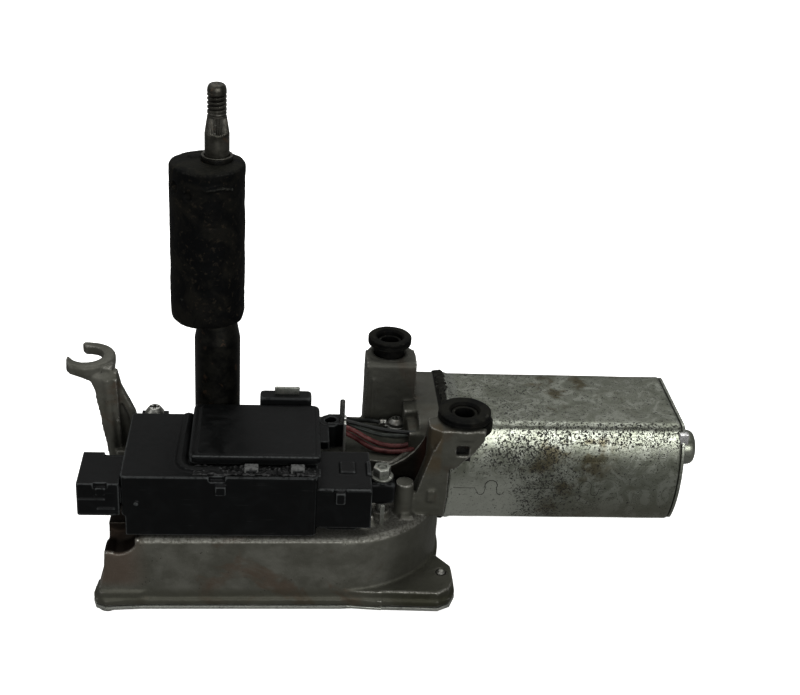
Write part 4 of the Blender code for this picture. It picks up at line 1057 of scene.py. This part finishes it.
def sleeve():
    """The thick rubber sleeve: square ends, a worn top and a torn patch near it."""
    low, high = SLEEVE_LOW.z + 2.0, SLEEVE_HIGH.z
    edge, bore = (SLEEVE_HIGH.x - SLEEVE_LOW.x) / 2, 6.4
    outside = [(0, low, 0), (edge - 0.3, low, 0.9), (edge, low + 3.0, 1.6), (edge, high - 1.0, 1.1),
               (edge - 3.0, high, 1.6), (0, high, 0)]
    body = turned("sleeve", outside, centre=middle_of("rubber_sleeve"), steps=96)
    inside = [(0, 90), (8.8, 90), (8.8, high - 3.5), (bore, high - 3.5), (bore, 200), (0, 200)]
    hole = [(0, 169.0), (2.0, 169.8), (2.8, 172.0), (2.0, 174.4), (0, 175.0)]
    tear = [(0, 167.6), (2.2, 168.6), (2.4, 170.4), (1.2, 172.6), (0, 173.2)]
    step = [(9.6, low - 1), (14.0, low - 1), (14.0, low + 3.4), (11.6, low + 1.8)]
    cut(body, lathe("bore", inside, steps=72), lathe("hole", hole, (-17.6, -10.4), steps=16),
        lathe("tear", tear, (-11.6, -16.2), steps=16),
        box("slit", (-4.5, 1.5), (-19.0, -16.2), (156.6, 157.6)), prism("step", step, -30.0, 30.0, "Y"))
    flap = [(-15.5, -10.5, 174.6), (-10.0, -15.2, 175.4), (-3.5, -17.2, 173.2), (3.0, -16.9, 174.4)]
    flap = strand("flap", flap + [(7.0, -13.6, 173.0)], 0.7)
    crust = [(0, high - 1), (4.0, high - 1), (2.6, high + 0.7), (0, high + 0.9)]
    crust = lathe("crust", crust, (-9.5, 3.0), steps=24)
    cut(crust, box("bore", (-bore, bore), (-bore, bore), (high - 3, high + 3)))
    nub = [(0, low - 1.9), (1.1, low - 1.9), (1.6, low - 1.2), (1.6, low + 4), (0, low + 4)]
    nub = lathe("nub", nub, (-13.5, -8.0), steps=20)
    piece = melted("rubber_boot", [body, flap, crust, nub], 0.5, 2)
    roughen(piece, (14.0, 0.30), (4.0, 0.18), (1.3, 0.08))
    place(piece, "rubber", "rubber", "rubber_sleeve", smooth_angle=None)


# --- Control module ------------------------------------------------------------------------


def module():
    """The case with its rim, tabs, notch and lower step, and the block round the hex screw."""
    left, right, top = CASE_LOW.x, 43.8, LID_SEAT
    case = copy_of("module_case", "case")
    cut(case, *blocks(
        ((-0.6, 6.0), (-66.0, -62.4), (65.2, 69.0)),
        ((-38.0, -34.7), (-66.0, -10.0), (37.0, 48.3)),
        ((19.0, 46.0), (-63.0, -55.0), (top + 0.1, 72.0)),
        ((66.6, 79.0), (-53.0, -39.0), (40.0, 46.6)),
    ))
    border = [(-11.8, -13.0, 65.5), (-12.3, -30.0, 65.5), (-12.6, -50.0, 65.5)]
    for turn in (0.4, 0.8, 1.2, 1.57):
        border.append((-12.6 + 5.0 * (1 - math.cos(turn)), -50.0 - 7.4 * math.sin(turn), 65.5))
    gate = [(0, -65.0), (0.9, -64.8), (1.3, -63.5), (0, -63.5)]
    skirt = [(45.0, 46.0), (63.5, 46.0), (60.5, 40.2), (48.0, 40.2)]
    bore = lathe("bore", [(0, 40), (2.3, 40), (2.3, 60), (0, 60)], (71.5, -46.0), steps=32)
    parts = [
        case,
        strand("border", border + [(4.0, -57.4, 65.2)], 3.1),
        lathe("gate", gate, (-30.1, 54.6), "Y", 24),
        prism("skirt", skirt, -61.0, -50.0, "Y", 0.5),
        cut(box("screw_block", (65.5, 77.2), (-51.2, -40.8), (46.8, 56.8), 1.6, 2.0), bore),
        *blocks(
            ((6.2, right - 0.3), (-63.6, -62.8), (top - 0.8, top + 0.45), 0.2),
            ((left + 1.0, -0.8), (-63.6, -62.8), (top - 0.8, top + 0.25), 0.2),
            ((43.5, 50.5), (-62.7, -61.5), (60.0, 61.5), 0.25),
            ((56.0, 66.3), (-62.7, -61.5), (60.0, 61.4), 0.25),
            ((51.5, 55.5), (-63.6, -61.0), (54.5, 59.8), 0.4),
            ((53.5, 60.0), (-50.0, -41.0), (60.0, 61.9), 0.6),
            ((64.8, 66.8), (-51.5, -41.0), (56.0, 62.2), 0.6),
        ),
    ]
    piece = roughen(melted("control_module", parts, 0.38, 2), (30.0, 0.15))
    place(piece, "plastic", "black_plastic", "module_case", smooth_angle=None)


def lid_clips():
    """The two pale clips in front of the lid, and the compound that oozes out between them."""
    top = LID_SEAT
    for number, start in enumerate((13.6, 32.6), 1):
        clip = box(f"lid_clip_{number}", (start, start + 5.8), (-60.6, -56.6), (top - 0.2, top + 2.8), 0.5)
        slot = box("slot", (start + 1.0, start + 4.8), (-61.0, -60.0), (top + 0.7, top + 1.3))
        place(cut(clip, slot), "clip", "black_plastic")
    strip = box("strip", (-7.0, 43.0), (-61.8, -55.6), (top - 0.8, top + 0.7))
    seal = roughen(melted("sealing_compound", [strip], 0.35, 2), (3.4, 0.9), (1.4, 0.5), (0.7, 0.15))
    place(seal, "gloss", "black_plastic", smooth_angle=None)


def lid():
    """The lid with its raised pad, a lip along its front, and the plug that fills the case's mouth."""
    low, high = LID_LOW, LID_HIGH
    x, y = (low.x, high.x), (low.y, high.y)
    lip = [(low.x + 1.5, low.y + 0.6, 71.3), (high.x - 0.8, low.y + 0.6, 71.3)]
    parts = blocks(
        (x, y, (67.6, high.z - 0.35), 1.1, 3.4),
        ((low.x + 3.0, high.x - 2.0), (low.y + 1.6, high.y - 2.0), (70.0, high.z), 0.5, 2.6),
        ((-7.0, 41.0), (-52.0, -14.7), (low.z, 69.0), 0.4, 1.0),
    )
    piece = melted("module_top", [*parts, strand("lip", lip, 0.45)], 0.38, 1)
    place(piece, "plastic", "black_plastic", "module_lid", smooth_angle=None)


def connector():
    """The plug socket with its latch tab and ledges."""
    low, high = SHROUD_LOW, SHROUD_HIGH
    face = (low.y - 0.35, low.y + 0.6)
    roof = box("roof", (low.x, -44.0), (-58.0, -46.0), (61.8, high.z))
    shell = melted("shell", [copy_of("connector_shroud", "shell"), roof], 0.34, 0)
    cut(shell, *blocks(
        ((-47.0, -41.6), (-66.0, -63.2), (58.0, high.z + 1.0)),
        ((-45.0, -36.0), (-42.8, -38.0), (62.6, 66.0)),
    ))
    parts = blocks(
        ((-46.4, -42.2), (-64.4, -62.6), (58.4, 62.0), 0.4),
        ((low.x + 0.3, -42.5), face, (56.2, 57.0), 0.2),
        ((-46.0, -38.6), face, (51.6, 52.6), 0.2),
        ((low.x + 0.6, high.x - 1.5), (low.y - 0.25, low.y + 0.6), (low.z, low.z + 1.0), 0.2),
    )
    piece = melted("plug_socket", [shell, *parts], 0.34, 2)
    place(piece, "plastic", "black_plastic", "connector_shroud", smooth_angle=None)


def choke():
    """The upright box behind the lid, and its metal tab."""
    low, high = limits("choke_cover")
    shell = box("choke_box", (low.x, high.x), (low.y, high.y), (low.z, high.z), 0.9, 2.0)
    place(melted("choke_box", [shell], 0.4, 1), "plastic", "black_plastic", "choke_cover", smooth_angle=None)
    low, high = limits("choke_tab")
    y = (low.y + 0.4, high.y - 0.4)
    piece = box("choke_spring_tab", (low.x, high.x), y, (low.z - 0.3, high.z), 0.35, 0.8)
    place(piece, "zinc", "bright_steel", "choke_tab")


def terminal():
    """The blade terminal: a foot that faces the side, and a dark tip turned to face the front."""
    low, high = limits("blade_terminal")
    outline = [(-7.0, low.z, 0.3), (-1.6, low.z, 0.3), (-1.6, 60.0, 0.6), (-2.8, 60.6, 0.4)]
    outline += [(-2.8, 62.4, 0.6), (-5.8, 62.4, 0.6), (-5.8, 60.6, 0.4), (-7.0, 60.0, 0.6)]
    piece = prism("blade", rounded(outline), low.x - 1.0, high.x - 0.9, "X", 0.2)
    place(piece, "bright", "bright_steel", "blade_terminal")
    foot, top = 59.0, high.z + 2.2
    outline = rounded([(54.6, foot, 0.3), (56.9, foot, 0.3), (56.9, top, 0.9), (54.6, top, 0.9)])
    place(prism("blade_tip", outline, -5.0, -4.2, "Y", 0.2), "dark", "bright_steel")


def head_screw(name, node, bearing):
    """A pan-head screw with a cross recess, above its bearing height."""
    low, high = limits(node)
    centre, radius, rise = middle_of(node), (high.x - low.x) / 2, high.z - bearing
    corners = [(0, low.z, 0), (1.3, low.z, 0.2), (1.6, low.z + 1.0, 0.2), (1.6, bearing, 0.1)]
    corners += [(radius, bearing, 0.3), (radius, bearing + 0.4 * rise, 1.2), (0.6 * radius, high.z, 1.0)]
    corners.append((0, high.z, 0))
    piece = turned(name, corners, centre=centre, steps=48)
    for half in ((0.5 * radius, 0.16 * radius), (0.16 * radius, 0.5 * radius)):
        x, y = [(at - reach, at + reach) for at, reach in zip(centre, half)]
        cut(piece, box("slot", x, y, (high.z - 1.2, high.z + 1)))
    return place(piece, "bright", "bright_steel", node)


def screws():
    """The module's rear screw, the earth screw, and the hex screw with its flange."""
    head_screw("module_screw", "rear_screw", 58.8)
    head_screw("earth_point_screw", "earth_screw", 48.9)
    low, high = limits("hex_screw")
    centre = middle_of("hex_screw")
    head = prism("head", arc(centre, 4.0, 12, 312, 5), 58.2, high.z, edge=0.45)
    dimple = [(0, high.z - 0.7), (1.6, high.z - 0.5), (2.4, high.z + 0.4), (0, high.z + 0.4)]
    cut(head, lathe("dimple", dimple, centre, steps=32))
    crown = [(0, 57.4, 0), (5.0, 57.4, 0.3), (5.0, 58.3, 0.4), (3.0, 58.8, 0.2), (0, 58.8, 0)]
    crown = turned("crown", crown, centre=centre)
    shank = lathe("shank", [(0, low.z), (1.7, low.z), (1.7, 58.0), (0, 58.0)], centre, steps=32)
    place(joined("hex_bolt", [head, crown, shank]), "zinc", "bright_steel", "hex_screw")


# --- Wires ---------------------------------------------------------------------------------


ROUTES = {
    "red_wire_1": ("red", "red_insulation", 1.15, [
        (57.9, 1.0, 53.6), (62, -1, 52.8), (68, -2.2, 49.6), (75, -2.6, 46.8),
        (83, -2.4, 46.0), (88, -2.2, 47.4), (91.5, -2.4, 48.8), (95.5, -2.6, 49.2),
    ]),
    "red_wire_2": ("red", "red_insulation", 1.15, [
        (57.9, 1.6, 50.4), (63, -0.4, 48.4), (70, -4.4, 46.0), (77, -6.4, 45.5),
        (84, -6.0, 45.4), (88, -3.8, 45.4), (91.5, -1.6, 45.7), (95.5, -0.8, 45.9),
    ]),
    "grey_wire": ("grey", "grey_insulation", 1.0, [
        (57.9, 5.2, 53.6), (64, 3.2, 52.0), (74, 1.6, 49.6),
        (84, 1.4, 49.2), (90, 1.4, 50.0), (95.5, 1.4, 50.4),
    ]),
    "dark_wire": ("black", "black_insulation", 1.0, [
        (57.9, 3.6, 55.4), (66, 1.6, 54.4), (76, -0.6, 53.4),
        (86, -1.6, 52.8), (91, -1.4, 52.5), (95.5, -1.2, 52.6),
    ]),
    "earth_wire": ("black", "black_insulation", 1.0, [
        (57.9, 6.8, 54.8), (62, 8.4, 52.8), (66, 11, 51.4), (70, 13, 50.2), (73.9, 13, 49.5),
    ]),
}


def curve_value(a, b, c, d, t):
    """The Catmull-Rom value between b and c."""
    cubic = 3 * b - a - 3 * c + d
    square = 2 * a - 5 * b + 4 * c - d
    return 0.5 * (2 * b + (c - a) * t + square * t**2 + cubic * t**3)


def smooth_route(stations, steps=10):
    ends = [stations[0]] + list(stations) + [stations[-1]]
    route = [stations[0]]
    for i in range(len(stations) - 1):
        for k in range(1, steps + 1):
            route.append(tuple(curve_value(*along, k / steps) for along in zip(*ends[i : i + 4])))
    return route


def wires():
    for name, (finish, slot, radius, stations) in ROUTES.items():
        piece = line("lead_" + name, smooth_route(stations), radius, finish, slot, sides=6)
        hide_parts(name)


def earth_terminal():
    """The crimped ring terminal of the earth lead."""
    ring = [(2.3, 47.7, 0.1), (4.6, 47.7, 0.2), (4.6, 48.6, 0.2), (2.3, 48.6, 0.1)]
    barrel = [(1.05, 74.3, 0.2), (1.55, 74.3, 0.2), (1.7, 75.6, 0.3), (1.45, 76.2, 0.3), (1.6, 77.4, 0.2)]
    parts = [
        turned("ring", ring, centre=(82.0, 13.0)),
        box("strap", (75.5, 79.0), (11.5, 14.5), (47.8, 48.5), 0.2),
        turned("barrel", barrel + [(1.05, 77.4, 0.2)], centre=(13.0, 49.4), axis="X", steps=32),
    ]
    place(melted("earth_lug", parts, 0.22, 2), "bright", "bright_steel", "ring_terminal", smooth_angle=None)


# --- Grommets ------------------------------------------------------------------------------


def grommets():
    """The rubber rings in the two closed lugs, with the eyelets in their bores."""
    shapes = (("front", FRONT_LUG_TOP, 8.2, 4.8, 0.0), ("rear", REAR_LUG_TOP, 6.9, 3.6, 1.2))
    for name, plate_top, neck, thick, lift in shapes:
        low, high = limits(f"{name}_grommet")
        centre = middle_of(f"{name}_grommet")
        radius, top, under, over = (high.x - low.x) / 2, high.z + lift, plate_top - thick, 80.0 + lift
        corners = [(5.9, low.z, 0.6), (8.0, low.z, 0.8), (8.9, low.z + 1.2, 0.8), (8.9, under, 0.4)]
        corners += [(neck, under, 0.3), (neck, over, 0.3), (radius, over, 0.7), (radius, over + 1.5, 0.3)]
        corners += [(radius - 0.4, over + 1.8, 0.3), (radius, over + 2.1, 0.4), (radius, top - 0.5, 0.8)]
        corners += [(radius - 1.4, top, 0.9), (6.8, top - 0.2, 0.8), (5.9, top - 1.3, 0.6)]
        piece = roughen(turned(f"{name}_bush", corners, centre=centre), (5.0, 0.14), (1.8, 0.07))
        place(piece, "grommet", "rubber", f"{name}_grommet", smooth_angle=50.0)
        low, high = [corner.z for corner in limits(f"{name}_sleeve")]
        eyelet = [(4.3, low, 0.2), (5.6, low, 0.3), (5.6, high, 0.4), (4.3, high, 0.4)]
        place(turned(f"{name}_eyelet", eyelet, centre=centre), "sealant", "bright_steel", f"{name}_sleeve")


# --- Stage ---------------------------------------------------------------------------------


def stage():
    """A pale floor that glows a little, so that the soft shadows on it stay light. It throws no
    light back up at the object."""
    f = Finish("stage", Roughness=0.9, Emission_Color=(1.0, 1.0, 0.99, 1.0), Emission_Strength=0.80)
    pale = f.mix(f.noise(60.0), (0.80, 0.80, 0.79), (0.83, 0.83, 0.82))
    f.feed(f.shader.inputs["Base Color"], pale)
    half = 100000.0
    corners = [(x * half * MM, y * half * MM, -0.02 * MM) for x, y in ((-1, -1), (1, -1), (1, 1), (-1, 1))]
    mesh = bpy.data.meshes.new("floor")
    mesh.from_pydata(corners, [], [(0, 1, 2, 3)])
    mesh.materials.append(f.material)
    floor = add("floor", mesh)
    floor.visible_diffuse = False
    floor.visible_glossy = False


def lamp(name, spot, aim, size, power):
    data = bpy.data.lights.new(name, "AREA")
    data.shape = "RECTANGLE"
    data.size, data.size_y = size
    data.energy = power
    made = bpy.data.objects.new(name, data)
    made.location = spot
    made.rotation_euler = (Vector(aim) - Vector(spot)).to_track_quat("-Z", "Y").to_euler()
    bpy.context.scene.collection.objects.link(made)


def surroundings():
    """Dim light from all around, and white where the camera looks past the floor."""
    world = bpy.data.worlds.new("studio")
    bpy.context.scene.world = world
    world.use_nodes = True
    tree = world.node_tree
    dim = tree.nodes["Background"]
    dim.inputs["Color"].default_value = (1.0, 1.0, 0.99, 1.0)
    dim.inputs["Strength"].default_value = 0.32
    white = tree.nodes.new("ShaderNodeBackground")
    white.inputs["Color"].default_value = (1.0, 1.0, 1.0, 1.0)
    white.inputs["Strength"].default_value = 1.1
    seen = tree.nodes.new("ShaderNodeLightPath").outputs["Is Camera Ray"]
    mixed = tree.nodes.new("ShaderNodeMixShader")
    for socket, value in zip(mixed.inputs, (seen, dim.outputs[0], white.outputs[0])):
        tree.links.new(value, socket)
    tree.links.new(mixed.outputs[0], tree.nodes["World Output"].inputs["Surface"])


def lights():
    """A low wide softbox in front, which draws the bright band on the can's shoulder, a large soft
    one overhead, and weak fills from behind and from the left."""
    surroundings()
    lamp("key", (0.42, -1.35, 0.56), (0.12, 0.0, 0.04), (1.3, 0.46), 16.0)
    lamp("overhead", (0.0, 0.15, 1.9), (0.05, 0.0, 0.0), (2.2, 1.4), 17.0)
    lamp("back_fill", (0.1, 1.5, 1.9), (0.1, 0.0, 0.03), (2.4, 1.0), 14.0)
    lamp("left_fill", (-1.6, -0.7, 0.8), (0.0, 0.0, 0.05), (1.0, 1.0), 5.0)


def camera():
    """The view of the photograph: from the front and a little above."""
    right, up, back = (0.9959, -0.0696, 0.0588), (-0.0201, 0.4620, 0.8867), (-0.0889, -0.8840, 0.4586)
    data = bpy.data.cameras.new("camera")
    data.lens, data.sensor_width = 61.74, 36.0
    made = bpy.data.objects.new("camera", data)
    turn = Matrix((right, up, back)).transposed().to_4x4()
    made.matrix_world = Matrix.Translation((0.0262, -0.5374, 0.3744)) @ turn
    bpy.context.scene.collection.objects.link(made)
    bpy.context.scene.camera = made


def main():
    camera()
    lights()
    stage()
    dress_inner_nodes()
    casting()
    deck_pin()
    window_shade_plate()
    cover()
    can()
    can_seam()
    end_cap()
    can_tabs()
    sealant_bead()
    spindle()
    tube()
    sleeve()
    module()
    lid_clips()
    lid()
    connector()
    choke()
    terminal()
    screws()
    wires()
    earth_terminal()
    grommets()
    view = bpy.context.scene.view_settings
    view.view_transform = "Standard"
    view.gamma = 0.85


main()
